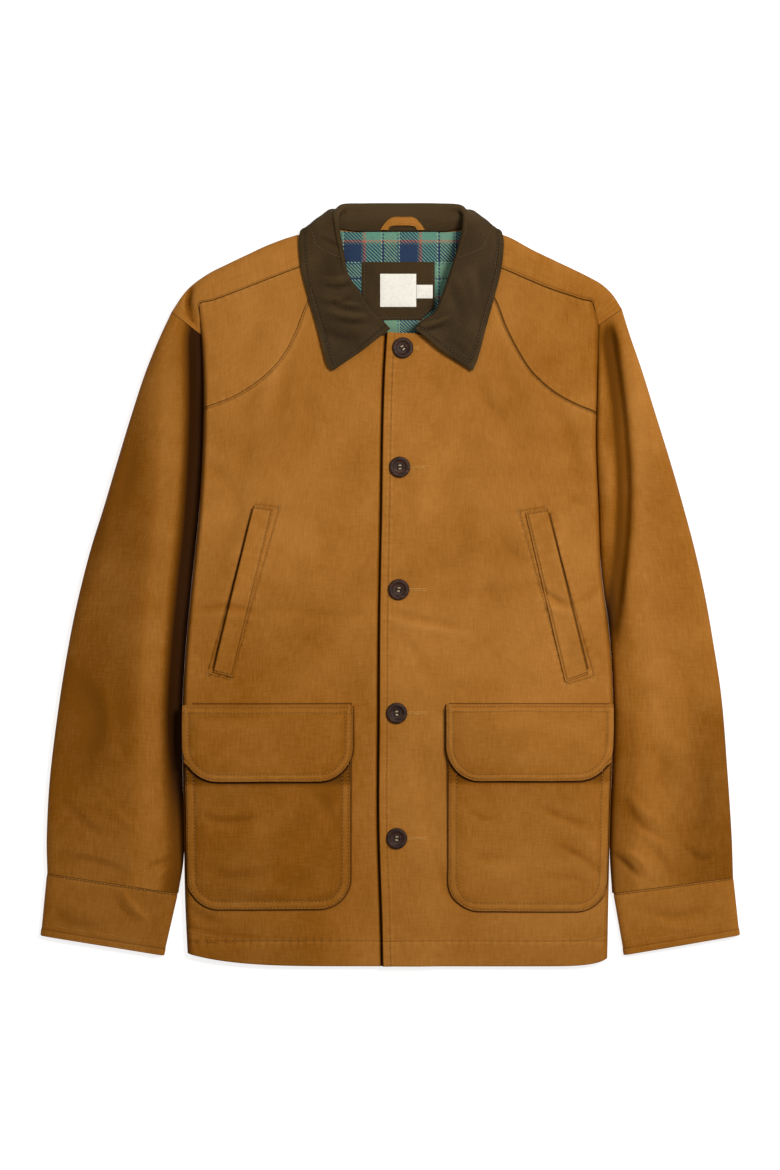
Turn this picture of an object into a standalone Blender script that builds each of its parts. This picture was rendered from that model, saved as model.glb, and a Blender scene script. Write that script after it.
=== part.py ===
"""A waxed cotton field jacket, buttoned and laid flat on its back.

Garment frame, in millimetres: x runs across from the centre line (wearer's right is -x),
u runs up from the hem, z is the height over the surface that the jacket lies on. Each piece of
cloth is one closed wall. Its outer points come from short tables of sections, and its inner
points are those moved in by the cloth's thickness. `place` moves the garment frame to the
middle of the outline and turns millimetres into metres.
"""

import math

import bmesh
import bpy
import numpy as np
from mathutils import Vector
from mathutils.bvhtree import BVHTree

for item in list(bpy.data.objects):
    bpy.data.objects.remove(item, do_unlink=True)

# ---- driving sizes, mm ----
CENTRE_TO_MIDDLE = 10.5  # the centre line lies this far right of the middle of the outline
HALF_LENGTH = 381.5      # half the outline's length, collar to hem
CLOTH = 2.0              # waxed canvas with its flannel backing
COLLAR_CLOTH = 2.5       # two layers of collar cloth with interlining
THIN_CLOTH = 1.0         # lining and neck patch
LABEL_CLOTH = 0.8        # label and size tab
LOOP_CLOTH = 1.4         # hanger loop
SEAM = 0.3               # gap between pieces at a seam
LAY = 0.4                # gap under a piece that lies on another
OVERLAP = 30.0           # the left front laps this far over the right one
CORNER_RADIUS = 25.0     # pocket and flap corners
NECK_POINT = 78.0        # the shoulders start this far from the centre line
BACK_NECK_UP = 734.0     # the back neckline's height over the hem
TUBE_SEAM = 0.48         # a flattened tube's outer edge lies at this share of its height
TUBE_ROLL = 0.75         # and rounds in over this share of its height
POCKET_SWELL = 2.2       # how far a patch pocket stands off the front
WELT_GAPE = 1.6          # how far a chest welt's open edge stands off the front
FALL_UNDER_BACK = COLLAR_CLOTH + 2 * LAY  # the back rises this much over the collar's fall
BUTTON_ACROSS = 21.0
BUTTON_THICK = 3.6
BUTTON_HOLE = 2.2
HOLE_CIRCLE = 2.3        # radius of the circle that the four holes lie on
BUTTON_SPOTS = [(2.0, 617.3), (-1.0, 498.5), (-2.0, 376.5), (-4.0, 253.3), (-4.0, 128.4)]

TAN = (0.352, 0.138, 0.024, 1.0)
BROWN = (0.050, 0.032, 0.019, 1.0)
PLAID_GREEN = (0.130, 0.210, 0.180, 1.0)
LABEL_WHITE = (0.800, 0.790, 0.740, 1.0)
BUTTON_BROWN = (0.022, 0.010, 0.006, 1.0)

# ---- the body: one row for each section, from the hem up ----
# up: height over the hem; edge: distance of the side edge from the centre line;
# edge_z: height of the side or armhole seam; roll: how far in the side's rounding reaches
BODY_SIDE = {
    "right": [  # up, edge, edge_z, roll
        (0, 212.5, 5.0, 8),
        (61, 215.5, 7.0, 10),
        (146, 217.0, 8.5, 12),
        (268, 218.0, 9.0, 13),
        (317, 215.0, 9.0, 13),
        (382, 209.0, 9.0, 13),
        (451, 202.0, 8.5, 13),
        (518, 198.0, 9.0, 12),
        (582, 197.2, 9.2, 11),
        (614, 198.2, 10.0, 11),
        (631, 199.2, 11.0, 10),
        (646, 200.2, 13.0, 9),
        (661, 201.0, 15.4, 8),
    ],
    "left": [
        (0, 206.5, 5.0, 8),
        (51, 207.5, 7.0, 10),
        (146, 209.5, 8.5, 12),
        (268, 212.5, 9.0, 13),
        (340, 208.0, 9.0, 13),
        (390, 201.0, 10.5, 12),
        (461, 197.5, 13.0, 9),
        (521, 195.0, 14.0, 8),
        (581, 196.0, 14.5, 7),
        (621, 197.0, 14.8, 7),
        (640, 197.0, 15.0, 7),
        (663, 191.0, 15.6, 7),
    ],
}
UNDERARM = {"right": (455.0, 500.0), "left": (395.0, 455.0)}  # where the side seam lies down flat
BODY_HEIGHT = [  # up, height at the centre front, height by the sides
    (0, 9.0, 11.0),
    (40, 10.2, 14.5),
    (150, 12.0, 19.5),
    (300, 13.0, 21.5),
    (450, 13.5, 20.5),
    (560, 14.0, 18.5),
    (640, 14.5, 16.5),
    (760, 15.0, 15.5),
]
FRONT_EDGE = [  # up, distance of the left front's edge from the centre line
    (0, -18.0),
    (30, -18.6),
    (149, -22.0),
    (246, -21.5),
    (354, -21.0),
    (466, -19.0),
    (537, -18.0),
    (589, -16.5),
    (633, -14.0),
]
# soft folds: from (x, up) through a middle point to (x, up), half width, depth
FOLDS = [
    ((206, 668), (222, 560), (229, 455), 7.0, 7.0),
    ((229, 455), (226, 385), (211, 318), 7.0, 6.0),
    ((-209, 690), (-212, 672), (-208, 648), 6.0, 5.0),
]
YOKE_SEAM = {  # across, up: from the armhole to the neckline under the collar
    "right": [(197.3, 557.5), (171, 567), (148, 580), (127, 598), (113, 617), (104, 636), (96, 657),
              (88, 673), (79.5, 685)],
    "left": [(195.2, 553), (173, 562), (152, 574), (132, 592), (119, 611), (105.5, 637), (96, 662),
             (88, 675), (78, 685)],
}
NECKLINE = {  # across, up: from the front edge's top corner to the yoke seam; the collar starts at row 1
    "right": [(-16, 632), (11, 632), (26, 633.5), (45, 643.5), (65, 661), (75, 674), (79.5, 685)],
    "left": [(-14, 633), (13, 632), (28, 633.5), (45, 643), (62, 660), (73, 674), (78, 685)],
}
HEM_RISE = {"right": (13.0, 5), "left": (8.0, 16)}  # the hem's rise at the side seam, and how late it starts

# ---- shoulder and sleeve: one row for each section, from the neck to the cuff's seam ----
# outer and inner end of the section, and its height. The shoulder's rows end at the forward
# shoulder seam; the sleeve's inner ends follow the body's edge, `away` from it.
SHOULDER = {
    "right": [  # outer, outer_up, inner, inner_up, height
        (78, 733, 82, 704, 15.0),
        (103, 731, 101, 698, 15.2),
        (130, 722, 125, 689, 15.4),
        (153, 711.5, 148, 680, 15.5),
        (175, 701, 171, 671, 15.5),
        (191, 693, 187, 665, 15.5),
        (207, 682, 201, 661, 15.5),
        (218, 670.5, 200.2, 646, 15.5),
        (229, 654, 199.2, 631, 15.5),
    ],
    "left": [
        (79, 733, 81, 704, 15.0),
        (104, 730.5, 103, 696, 15.2),
        (132, 716, 128, 685, 15.4),
        (156, 704.5, 150, 676, 15.5),
        (175, 695.5, 168, 670, 15.5),
        (189, 688.5, 181, 665.8, 15.6),
        (201, 681.5, 191, 663, 15.8),
        (212, 671, 194.5, 651, 16.0),
        (221, 657, 197, 640, 16.0),
    ],
}
SLEEVE = {
    "right": [  # outer, outer_up, inner_up, away, height, roll at the inner edge
        (229, 654, 631, 0.3, 15.5, 10),
        (242, 626, 612, 0.5, 16.5, 10),
        (256, 591, 578, 0.5, 17.5, 10),
        (270, 548, 539, 0.5, 18.5, 12),
        (284.5, 500, 500, 0.4, 19.0, 15),
        (296, 461, 461, 0.8, 19.0, 17),
        (310, 416, 416, 1.0, 18.5, 18),
        (322, 369, 369, 1.0, 18.0, 15),
        (331, 326, 323, 1.6, 17.5, 12),
        (341, 266, 260, 2.4, 16.5, 10),
        (350.5, 191, 179, 2.4, 15.0, 9),
        (354, 131, 113, 2.4, 13.0, 8),
        (353.5, 93, 73, 6.5, 11.5, 7),
    ],
    "left": [
        (221, 657, 640, 0.3, 16.0, 7),
        (229, 631, 618, 0.5, 16.5, 7),
        (241, 596, 586, 0.5, 17.0, 7),
        (255, 551, 546, 0.5, 17.5, 8),
        (269, 506, 504, 0.5, 18.0, 9),
        (282, 461, 464, 0.6, 18.5, 10),
        (294, 416, 420, 1.0, 18.5, 12),
        (304, 371, 375, 1.0, 18.0, 12),
        (312, 326, 326, 1.6, 17.5, 11),
        (321, 266, 265, 2.4, 16.5, 10),
        (327, 191, 186, 2.4, 15.0, 9),
        (331, 131, 118, 2.0, 13.0, 8),
        (332.5, 89, 73, 3.5, 11.5, 7),
    ],
}
CUFF = {  # outer, outer_up, inner, inner_up at the seam and at the open end; height at both
    "right": [(353.8, 92.6, 222.7, 72.6, 11.9), (360, 30.5, 237, 10.5, 9.5)],
    "left": [(332.7, 88.6, 212.6, 72.6, 11.9), (339, 31, 223.5, 11, 9.5)],
}

# ---- collar: one row for each section, from its front end to the centre back ----
# seam: place along half the neck seam; roll line, with lean 0 for a fold that points into the
# neck, 90 for one that stands up and 180 for one that points away; middle and free edge of the fall
COLLAR = {
    "right": [  # seam, roll, roll_up, roll_z, lean, mid, mid_up, mid_z, edge, edge_up, edge_z
        (0.000, 10.5, 636.5, 20.0, 5, 39, 614, 19.5, 67.5, 594.5, 20.5),
        (0.060, 20.5, 647.0, 21.0, 8, 47, 624, 19.8, 73.5, 602, 20.0),
        (0.140, 31.0, 656.5, 22.0, 12, 58, 643, 20.0, 81.8, 633, 18.6),
        (0.230, 40.0, 672.0, 23.0, 20, 67, 665, 20.0, 91.3, 664, 18.0),
        (0.330, 52.5, 690.0, 24.0, 32, 76, 691, 20.0, 98.8, 694, 18.0),
        (0.450, 58.0, 714.0, 25.0, 48, 82, 720, 20.0, 101.7, 721, 17.5),
        (0.560, 62.0, 732.0, 24.5, 65, 84, 738, 20.0, 100.5, 733.0, 13.5),
        (0.600, 63.5, 740.5, 23.0, 78, 84, 744.0, 15.0, 98.0, 735.0, 6.5),
        (0.640, 64.5, 747.0, 21.0, 90, 78, 750.5, 8.0, 93.0, 732.0, 1.4),
        (0.680, 64.0, 753.5, 17.5, 108, 71, 755.0, 2.6, 86, 716, 1.25),
        (0.760, 57.5, 761.0, 12.5, 145, 60, 750, 1.4, 62, 703, 1.25),
        (0.880, 35.0, 762.6, 8.5, 172, 35, 738, 1.25, 35, 699, 1.25),
        (1.000, 0.0, 763.0, 6.0, 178, 0, 738, 1.25, 0, 697, 1.25),
    ],
    "left": [
        (0.000, 13.5, 636.5, 21.5, 5, 42, 613, 20.5, 71.5, 594, 20.5),
        (0.060, 22.0, 645.5, 22.5, 8, 50, 624, 21.0, 77.0, 607, 20.0),
        (0.140, 33.0, 652.0, 24.0, 12, 60, 642, 21.5, 83.8, 633, 18.8),
        (0.230, 40.0, 667.0, 26.0, 20, 68, 664, 22.0, 92.3, 664, 18.2),
        (0.330, 48.0, 689.0, 27.5, 32, 76, 690, 22.0, 99.8, 694, 18.0),
        (0.450, 56.5, 713.0, 27.5, 48, 82, 720, 21.0, 102.7, 719, 17.5),
        (0.560, 62.0, 731.0, 26.0, 65, 85, 737.5, 20.5, 101.0, 732.0, 13.5),
        (0.600, 63.8, 739.5, 24.0, 78, 85, 743.0, 15.0, 99.0, 734.0, 6.5),
        (0.640, 65.0, 746.0, 21.5, 90, 79, 749.5, 8.0, 93.5, 731.5, 1.4),
        (0.680, 65.0, 752.5, 17.5, 108, 72, 754, 2.6, 86, 716, 1.25),
        (0.760, 58.5, 760.5, 12.5, 145, 61, 750, 1.4, 62, 703, 1.25),
        (0.880, 35.0, 762.6, 8.5, 172, 35, 738, 1.25, 35, 699, 1.25),
        (1.000, 0.0, 763.0, 6.0, 178, 0, 738, 1.25, 0, 697, 1.25),
    ],
}
ROLL_RADIUS = 2.1  # of the collar's fold, at the middle of its cloth
STAND_GAP = 1.7    # between the stand's middle surface and the neck edges it is sewn to

# ---- what lies on the fronts ----
PATCH_POCKET = {  # from the side edge, far side's distance from the centre line, bottom, mouth
    "right": (3.6, 50.5, 57.5, 252.0),
    "left": (2.6, 47.5, 55.5, 253.0),
}
POCKET_FLAP = {
    "right": (0.9, 48.0, 185.4, 261.5),
    "left": (0.9, 45.5, 186.3, 262.5),
}
WELT = {  # corners, across and up: inner top, outer top, outer bottom, inner bottom
    "right": [(126.6, 457.0), (146.5, 460.0), (187.0, 294.0), (167.0, 289.0)],
    "left": [(123.7, 453.0), (146.0, 457.0), (186.5, 292.0), (163.5, 284.0)],
}
SIGN = {"right": -1.0, "left": 1.0}
ARMHOLE_ROW = 6  # the shoulder's rows from this one on end at the armhole


# ---- mathematics ----
def curve(rows, at):
    """A smooth curve through rows whose first column is the place along it: cubic pieces, with
    each row's slope taken from its neighbours."""
    rows = np.asarray(rows, float)
    place_along, value = rows[:, 0], rows[:, 1:]
    slope = np.gradient(value, place_along, axis=0)
    at = np.clip(np.asarray(at, float), place_along[0], place_along[-1])
    k = np.clip(np.searchsorted(place_along, at, side="right") - 1, 0, len(rows) - 2)
    width = place_along[k + 1] - place_along[k]
    t = ((at - place_along[k]) / width)[..., None]
    width = width[..., None]
    keep = (1 + 2 * t) * (1 - t) ** 2 * value[k] + t**2 * (3 - 2 * t) * value[k + 1]
    return keep + width * (t * (1 - t) ** 2 * slope[k] - t**2 * (1 - t) * slope[k + 1])


def numbered(rows):
    """The rows with their number put first, so that `curve` runs along them."""
    return [(i, *row) for i, row in enumerate(rows)]


def ease(t):
    t = np.clip(t, 0.0, 1.0)
    return t * t * (3 - 2 * t)


def rounding(distance, reach):
    """Height share of a rounded edge: a quarter ellipse from 0 at the edge to 1 at `reach`."""
    left = np.clip(1 - distance / reach, 0.0, 1.0)
    return np.sqrt(1 - left**2)


def along(points, share):
    """Points at shares of a polyline's length."""
    points = np.asarray(points, float)
    step = np.linalg.norm(np.diff(points, axis=0), axis=1)
    run = np.concatenate([[0], np.cumsum(step)])
    return np.stack([np.interp(np.asarray(share) * run[-1], run, points[:, i])
                     for i in range(points.shape[1])], axis=-1)


def smooth_line(points, share):
    """Points at shares of a smooth line through the given points."""
    fine = curve(numbered(points), np.linspace(0, len(points) - 1, 12 * len(points)))
    return along(fine, share)


def fold_depth(x, u):
    """How far the soft folds press the cloth down: each is a bell across a bent line, fading
    towards the line's ends."""
    depth = np.zeros(np.broadcast(x, u).shape)
    for start, middle, end, half_width, deep in FOLDS:
        t = np.linspace(0, 1, 15)[:, None]
        line = (1 - t) ** 2 * np.array(start) + 2 * t * (1 - t) * np.array(middle) + t**2 * np.array(end)
        away = np.hypot(np.subtract.outer(x, line[:, 0]), np.subtract.outer(u, line[:, 1]))
        fade = 0.35 + 0.65 * np.sin(math.pi * np.clip(t[:, 0], 0.02, 0.98))
        depth = np.maximum(depth, (deep * fade * np.exp(-((away / half_width) ** 2))).max(axis=-1))
    return depth


# ---- the body's surface ----
def edge_of(side, u):
    """Distance of the body's side edge from the centre line, seam height and rounding at height u."""
    found = curve(BODY_SIDE[side], u)
    return found[..., 0], found[..., 1], found[..., 2]


def body_height(x, u):
    """Height of the fronts away from their edges: low at the centre front, higher by the sides."""
    centre, sides = np.moveaxis(curve(BODY_HEIGHT, u), -1, 0)
    return centre + (sides - centre) * ease(np.abs(x) / 150.0) - fold_depth(x, u)


def front_height(side, x, u):
    """Height of one front: the left one also rises over the right one's lap."""
    height = body_height(x, u)
    if side == "left":
        height = height + (CLOTH + LAY) * (1 - ease((x - (OVERLAP - 14)) / 26.0))
    return height


def front_surface(side, distance, u):
    """Point of a front at a distance in from its side edge."""
    edge, edge_z, roll = edge_of(side, u)
    x = SIGN[side] * (edge - distance)
    z = edge_z + (front_height(side, x, u) - edge_z) * rounding(distance, roll)
    return np.stack([x, np.broadcast_to(u, x.shape), z], axis=-1)


# ---- meshes ----
def material(name, colour, roughness):
    surface = bpy.data.materials.new(name)
    surface.use_nodes = True
    shader = surface.node_tree.nodes["Principled BSDF"]
    shader.inputs["Base Color"].default_value = colour
    shader.inputs["Roughness"].default_value = roughness
    shader.inputs["Metallic"].default_value = 0.0
    surface.diffuse_color = colour
    return surface


CANVAS = material("waxed canvas", TAN, 0.75)
COLLAR_CANVAS = material("brown collar cotton", BROWN, 0.85)
FLANNEL = material("plaid flannel", PLAID_GREEN, 0.9)
WOVEN_LABEL = material("white woven label", LABEL_WHITE, 0.7)
HORN = material("dark brown button", BUTTON_BROWN, 0.35)


def place(points):
    """Garment millimetres to metres about the middle of the outline."""
    return (np.asarray(points, float) + [CENTRE_TO_MIDDLE, -HALF_LENGTH, 0.0]) * 0.001


def corner_normals(grid, present):
    """Unit normal at each grid point, the mean over the present cells around it."""
    across = grid[1:, 1:] - grid[:-1, :-1]
    down = grid[1:, :-1] - grid[:-1, 1:]
    cell = np.cross(across, down) * present[..., None]
    normal = np.zeros_like(grid)
    for rows in (slice(None, -1), slice(1, None)):
        for columns in (slice(None, -1), slice(1, None)):
            normal[rows, columns] += cell
    length = np.linalg.norm(normal, axis=-1, keepdims=True)
    return normal / np.where(length > 0, length, 1)


def level(rim):
    """Turns steep normals along a rim flat, so that two rolled edges meet at a level face."""
    rim[:, 2] *= ease((np.abs(rim[:, 2]) - 0.7) / 0.25)
    rim /= np.linalg.norm(rim, axis=1, keepdims=True)


def solid(name, points, faces, finish):
    """One closed object from points in garment millimetres."""
    mesh = bpy.data.meshes.new(name)
    mesh.from_pydata([tuple(p) for p in place(points)], [], faces)
    build = bmesh.new()
    build.from_mesh(mesh)
    bmesh.ops.delete(build, geom=[v for v in build.verts if not v.link_faces], context="VERTS")
    bmesh.ops.recalc_face_normals(build, faces=build.faces)
    build.to_mesh(mesh)
    build.free()
    mesh.materials.append(finish)
    mesh.shade_smooth()
    mesh.set_sharp_from_angle(angle=math.radians(50))
    piece = bpy.data.objects.new(name, mesh)
    bpy.context.collection.objects.link(piece)
    return piece


def wall(name, outer, inner, finish, present=None, ring=False):
    """A closed wall between two grids of points. Cells that are not present are left out, and a
    ring's last column joins its first."""
    rows, columns = outer.shape[:2]
    wide = columns if ring else columns - 1
    if present is None:
        present = np.ones((rows - 1, wide), bool)

    def number(layer, r, c):
        return layer * rows * columns + r * columns + c % columns

    faces = []
    for r in range(rows - 1):
        for c in range(wide):
            if not present[r, c]:
                continue
            corners = [(r, c), (r, c + 1), (r + 1, c + 1), (r + 1, c)]
            faces.append([number(0, *p) for p in corners])
            faces.append([number(1, *p) for p in reversed(corners)])
            beside = [(r - 1, c), (r, c + 1), (r + 1, c), (r, c - 1)]
            for k, (rr, cc) in enumerate(beside):
                if ring:
                    cc %= wide
                inside = 0 <= rr < rows - 1 and 0 <= cc < wide and present[rr, cc]
                if not inside:
                    a, b = corners[k], corners[(k + 1) % 4]
                    faces.append([number(0, *b), number(0, *a), number(1, *a), number(1, *b)])
    points = np.concatenate([outer.reshape(-1, 3), inner.reshape(-1, 3)])
    return solid(name, points, faces, finish)


def moved_in(outer, thickness, up, present=None):
    """The outer points moved along their normals by the thickness; `up` says whether the outer
    face looks up."""
    if present is None:
        present = np.ones((outer.shape[0] - 1, outer.shape[1] - 1), bool)
    normal = corner_normals(outer, present)
    for rim in (normal[:, 0], normal[:, -1]):
        level(rim)
    turn = 1.0 if (normal[..., 2].sum() > 0) == up else -1.0
    return outer - normal * turn * thickness


# ---- fronts and yokes ----
ROLL_STEPS = 1 - np.cos(np.radians([0, 28, 56, 90]))


def panel_columns(width, reach, peak, spread):
    """Shares across a panel: close together over the rounded edge, then even on both sides of
    the column that meets `peak`."""
    start = reach / width
    return np.concatenate([ROLL_STEPS[:-1] * start, np.linspace(start, peak, spread[0], endpoint=False),
                           np.linspace(peak, 1, spread[1])])


def front_panel(side):
    """A front, from the hem to the yoke seam and neckline and from the side to the front edge.
    Rows run straight across. The hem's and the top's shapes are added to the first and last rows,
    fading between them. Distances are from the centre line, towards this side's seam."""
    seam_line = curve(numbered(YOKE_SEAM[side]), np.linspace(0, len(YOKE_SEAM[side]) - 1, 120))
    neck_line = curve(numbered(NECKLINE[side][::-1]), np.linspace(0, len(NECKLINE[side]) - 1, 120))
    rise, late = HEM_RISE[side]
    v = np.concatenate([[0, 0.035], np.linspace(0.09, 1.0, 14)])[:, None]
    side_up = rise + v * (YOKE_SEAM[side][0][1] - rise)
    front_up = v * NECKLINE[side][0][1]
    edge, edge_z, roll = edge_of(side, side_up)
    lap = OVERLAP if side == "right" else 0.0
    front = SIGN[side] * (curve(FRONT_EDGE, front_up)[..., 0] + lap)
    peak = (edge[-1, 0] - seam_line[-1, 0]) / (edge[-1, 0] - front[-1, 0])
    share = panel_columns(edge[5, 0], roll[5, 0], peak, (6, 7))[None, :]
    top_x = edge[-1, 0] + (front[-1, 0] - edge[-1, 0]) * share[0]
    top_up = np.where(share[0] <= peak, np.interp(-top_x, -seam_line[:, 0], seam_line[:, 1]),
                      np.interp(-top_x, -neck_line[:, 0], neck_line[:, 1]))
    distance = (edge - front) * share
    x = SIGN[side] * (edge - distance)
    u = side_up * (1 - share) + front_up * share
    u = u + (1 - v) ** 6 * (rise * (1 - share) ** late - rise * (1 - share))
    u = u + v**4 * (top_up - SEAM / 2 - u[-1])
    z = edge_z + (front_height(side, x, u) - edge_z) * rounding(distance, roll)
    return np.stack([x, u, z], axis=-1)


def yoke_panel(side, front):
    """The front shoulder yoke, between the yoke seam, the armhole, the forward shoulder seam and a
    short stretch of the neckline: a patch blended from its four edges."""
    seam_points = front[-1]
    peak = int(np.argmax(seam_points[:, 1]))
    bottom = seam_points[: peak + 1, :2].copy()
    along_seam = np.gradient(bottom, axis=0)
    beside = np.stack([-along_seam[:, 1], along_seam[:, 0]], axis=1)
    beside /= np.linalg.norm(beside, axis=1, keepdims=True)
    beside *= np.where(beside[:, 1:] < 0, -1, 1)
    bottom = bottom + beside * SEAM * 1.5
    columns = len(bottom)
    rows = np.linspace(0, 1, 7)[:, None, None]
    shoulder = np.array([(SIGN[side] * r[2], r[3]) for r in SHOULDER[side][:ARMHOLE_ROW + 1]], float)[::-1]
    share = np.linspace(0, 1, columns)
    run = np.concatenate([[0], np.cumsum(np.linalg.norm(np.diff(bottom, axis=0), axis=1))])
    top = along(shoulder, run / run[-1] * 0.35 + share * 0.65)
    first, last = bottom[0], top[0]
    side_up = first[1] + rows[:, 0, 0] * (last[1] - first[1])
    side_edge = edge_of(side, side_up)
    armhole = np.stack([SIGN[side] * side_edge[0], side_up], axis=1)
    neck = bottom[-1] + rows[:, 0] * (top[-1] - bottom[-1])
    s = (run / run[-1] * (1 - rows[..., 0]) + (run / run[-1] * 0.35 + share * 0.65) * rows[..., 0])[..., None]
    flat = bottom * (1 - rows) + top * rows + armhole[:, None] * (1 - s) + neck[:, None] * s
    corners = (bottom[0] * (1 - s) + bottom[-1] * s) * (1 - rows) + (top[0] * (1 - s) + top[-1] * s) * rows
    flat = flat - corners
    distance = np.linalg.norm(flat - armhole[:, None], axis=-1)
    edge_z, roll = side_edge[1][:, None], side_edge[2][:, None]
    z = edge_z + (front_height(side, flat[..., 0], flat[..., 1]) - edge_z) * rounding(distance, roll)
    return np.concatenate([flat, z[..., None]], axis=-1)


grids = {}
for side in ("right", "left"):
    grids["front_" + side] = front_panel(side)
    grids["yoke_" + side] = yoke_panel(side, grids["front_" + side])
inner_grids = {name: moved_in(grid, CLOTH, up=True) for name, grid in grids.items()}
for name, grid in grids.items():
    wall(name, grid, inner_grids[name], CANVAS)


# ---- sleeves and cuffs ----
def tube_section(outer, inner, height, edge_z, roll, half, fold=True):
    """One row of a flattened tube in plan from `inner` to `outer`, its upper or under half. The upper
    half climbs from the inner seam to its height and rounds down to the outer seam. The under half
    does the same towards the surface it lies on."""
    width = np.linalg.norm(outer - inner, axis=-1)[:, None]
    outer_roll = TUBE_ROLL * height[:, None]
    inner_steps = ROLL_STEPS[None, :] * roll[:, None] / width
    outer_steps = 1 - (ROLL_STEPS[::-1])[None, :] * outer_roll / width
    columns, crowding = (11, 1.6) if half == "upper" else (4, 1.0)
    middle = np.linspace(0, 1, columns)[None, 1:-1] ** crowding
    middle = inner_steps[:, -1:] + middle * (outer_steps[:, :1] - inner_steps[:, -1:])
    share = np.concatenate([inner_steps, middle, outer_steps], axis=1)
    flat = inner[:, None] * (1 - share[..., None]) + outer[:, None] * share[..., None]
    from_inner, from_outer = share * width, (1 - share) * width
    outer_z = TUBE_SEAM * height[:, None]
    if half == "upper":
        top = height[:, None] - (fold_depth(flat[..., 0], flat[..., 1]) if fold else 0.0)
        z = edge_z[:, None] + (top - edge_z[:, None]) * rounding(from_inner, roll[:, None])
        z = outer_z + (z - outer_z) * rounding(from_outer, outer_roll)
    else:
        z = edge_z[:, None] * (1 - rounding(from_inner, roll[:, None]))
        z = z + (outer_z - SEAM) * (1 - rounding(from_outer, outer_roll))
    return np.concatenate([flat, z[..., None]], axis=-1)


def sleeve_rows(side, count):
    """Sections of a sleeve from the sleeve-head seam to the cuff's seam."""
    rows = curve(numbered(SLEEVE[side]), np.linspace(0.02, len(SLEEVE[side]) - 1, count))
    outer = np.stack([SIGN[side] * rows[:, 0], rows[:, 1]], axis=1)
    edge, edge_z, _ = edge_of(side, rows[:, 2])
    inner = np.stack([SIGN[side] * (edge + rows[:, 3]), rows[:, 2]], axis=1)
    low, high = UNDERARM[side]
    lift = 1 - ease((rows[:, 2] - low) / (high - low))
    return outer, inner, rows[:, 4], edge_z, rows[:, 5], lift


for side in ("right", "left"):
    outer, inner, height, edge_z, roll, lift = sleeve_rows(side, 19)
    upper = tube_section(outer, inner, height, edge_z, roll, "upper")
    wall("sleeve_upper_" + side, upper, moved_in(upper, CLOTH, up=True), CANVAS)
    under = tube_section(outer, inner, height, (edge_z - SEAM) * lift, roll, "under")
    wall("sleeve_under_" + side, under, moved_in(under, CLOTH, up=False), CANVAS)

    share = np.linspace(0, 1, 4)[:, None]
    rows = np.array(CUFF[side][0]) * (1 - share) + np.array(CUFF[side][1]) * share
    outer = np.stack([SIGN[side] * rows[:, 0], rows[:, 1]], axis=1)
    inner = np.stack([SIGN[side] * rows[:, 2], rows[:, 3]], axis=1)
    edge_z = TUBE_SEAM * rows[:, 4]
    roll = TUBE_ROLL * rows[:, 4]
    upper = tube_section(outer, inner, rows[:, 4], edge_z, roll, "upper", fold=False)
    under = tube_section(outer, inner, rows[:, 4], edge_z - SEAM, roll, "under", fold=False)
    ring = np.concatenate([upper, under[:, -2:0:-1]], axis=1)
    closed = np.concatenate([ring[:, -1:], ring, ring[:, :1]], axis=1)
    normal = corner_normals(closed, np.ones((closed.shape[0] - 1, closed.shape[1] - 1), bool))[:, 1:-1]
    turn = 1.0 if normal[:, 6, 2].mean() > 0 else -1.0
    wall("cuff_" + side, ring, ring - normal * turn * CLOTH, CANVAS, ring=True)


# ---- back ----
def over_the_fall(x, u):
    """How far the collar's fall lifts the back off the surface."""
    return FALL_UNDER_BACK * ease((u - 590) / 42.0) * ease((128 - np.abs(x)) / 24.0)


def shoulder_columns(side):
    """Plan points and heights where the back rolls over the shoulder, one row for each column:
    outer end, inner end, height, and height of the seam at the inner end."""
    rows = np.array(SHOULDER[side], float)[::-1]
    outer = np.stack([SIGN[side] * rows[:, 0], rows[:, 1]], axis=1)
    inner = np.stack([SIGN[side] * rows[:, 2], rows[:, 3]], axis=1)
    seam_z = front_height(side, inner[:, 0], inner[:, 1])
    at_armhole = rows[:, 3] <= SHOULDER[side][ARMHOLE_ROW][3]
    seam_z = np.where(at_armhole, edge_of(side, rows[:, 3])[1], seam_z)
    towards = outer - inner
    inner = inner + towards / np.linalg.norm(towards, axis=1, keepdims=True) * SEAM * 1.5
    return outer, inner, rows[:, 4], seam_z


def back_lower(wide, neck_x):
    """The back's rows from the hem to the level of the sleeve-head seams: flat where it lies, and
    rolled up to the side seams below the underarms."""
    v = np.concatenate([[0], np.linspace(0.06, 1, 14)])[:, None]
    even = np.linspace(0, 1, wide)
    rolled = np.concatenate([ROLL_STEPS * 0.1, np.linspace(0.1, 1, wide - 3)[1:]])
    to_even = ease((v - 0.8) / 0.2)
    half = {}
    for side in ("right", "left"):
        foot = HEM_RISE[side][0] + LAY
        up = foot + v * (SHOULDER[side][-1][3] - foot)
        edge, edge_z, roll = edge_of(side, up)
        low, high = UNDERARM[side]
        lift = 1 - ease((up - low) / (high - low))
        x = edge + (NECK_POINT - edge) * (rolled * (1 - to_even) + even * to_even)
        half[side] = (SIGN[side] * x, up, (edge_z - SEAM) * lift * (1 - rounding(edge - x, roll)))
    middle = np.broadcast_to(neck_x, (len(v), len(neck_x)))
    x = np.concatenate([half["right"][0], middle, half["left"][0][:, ::-1]], axis=1)
    z = np.concatenate([half["right"][2], middle * 0, half["left"][2][:, ::-1]], axis=1)
    across = (x - x[:, :1]) / (x[:, -1:] - x[:, :1])
    u = half["right"][1] * (1 - across) + half["left"][1] * across
    for side, (rise, late) in HEM_RISE.items():
        share = across if side == "left" else 1 - across
        reach = np.clip(SIGN[side] * x / edge_of(side, 0.0)[0], 0, 1)
        u = u + (1 - v) ** 6 * rise * (reach**late - share)
    return np.stack([x, np.maximum(u, LAY * (1 - v)), z], axis=-1)


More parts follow.
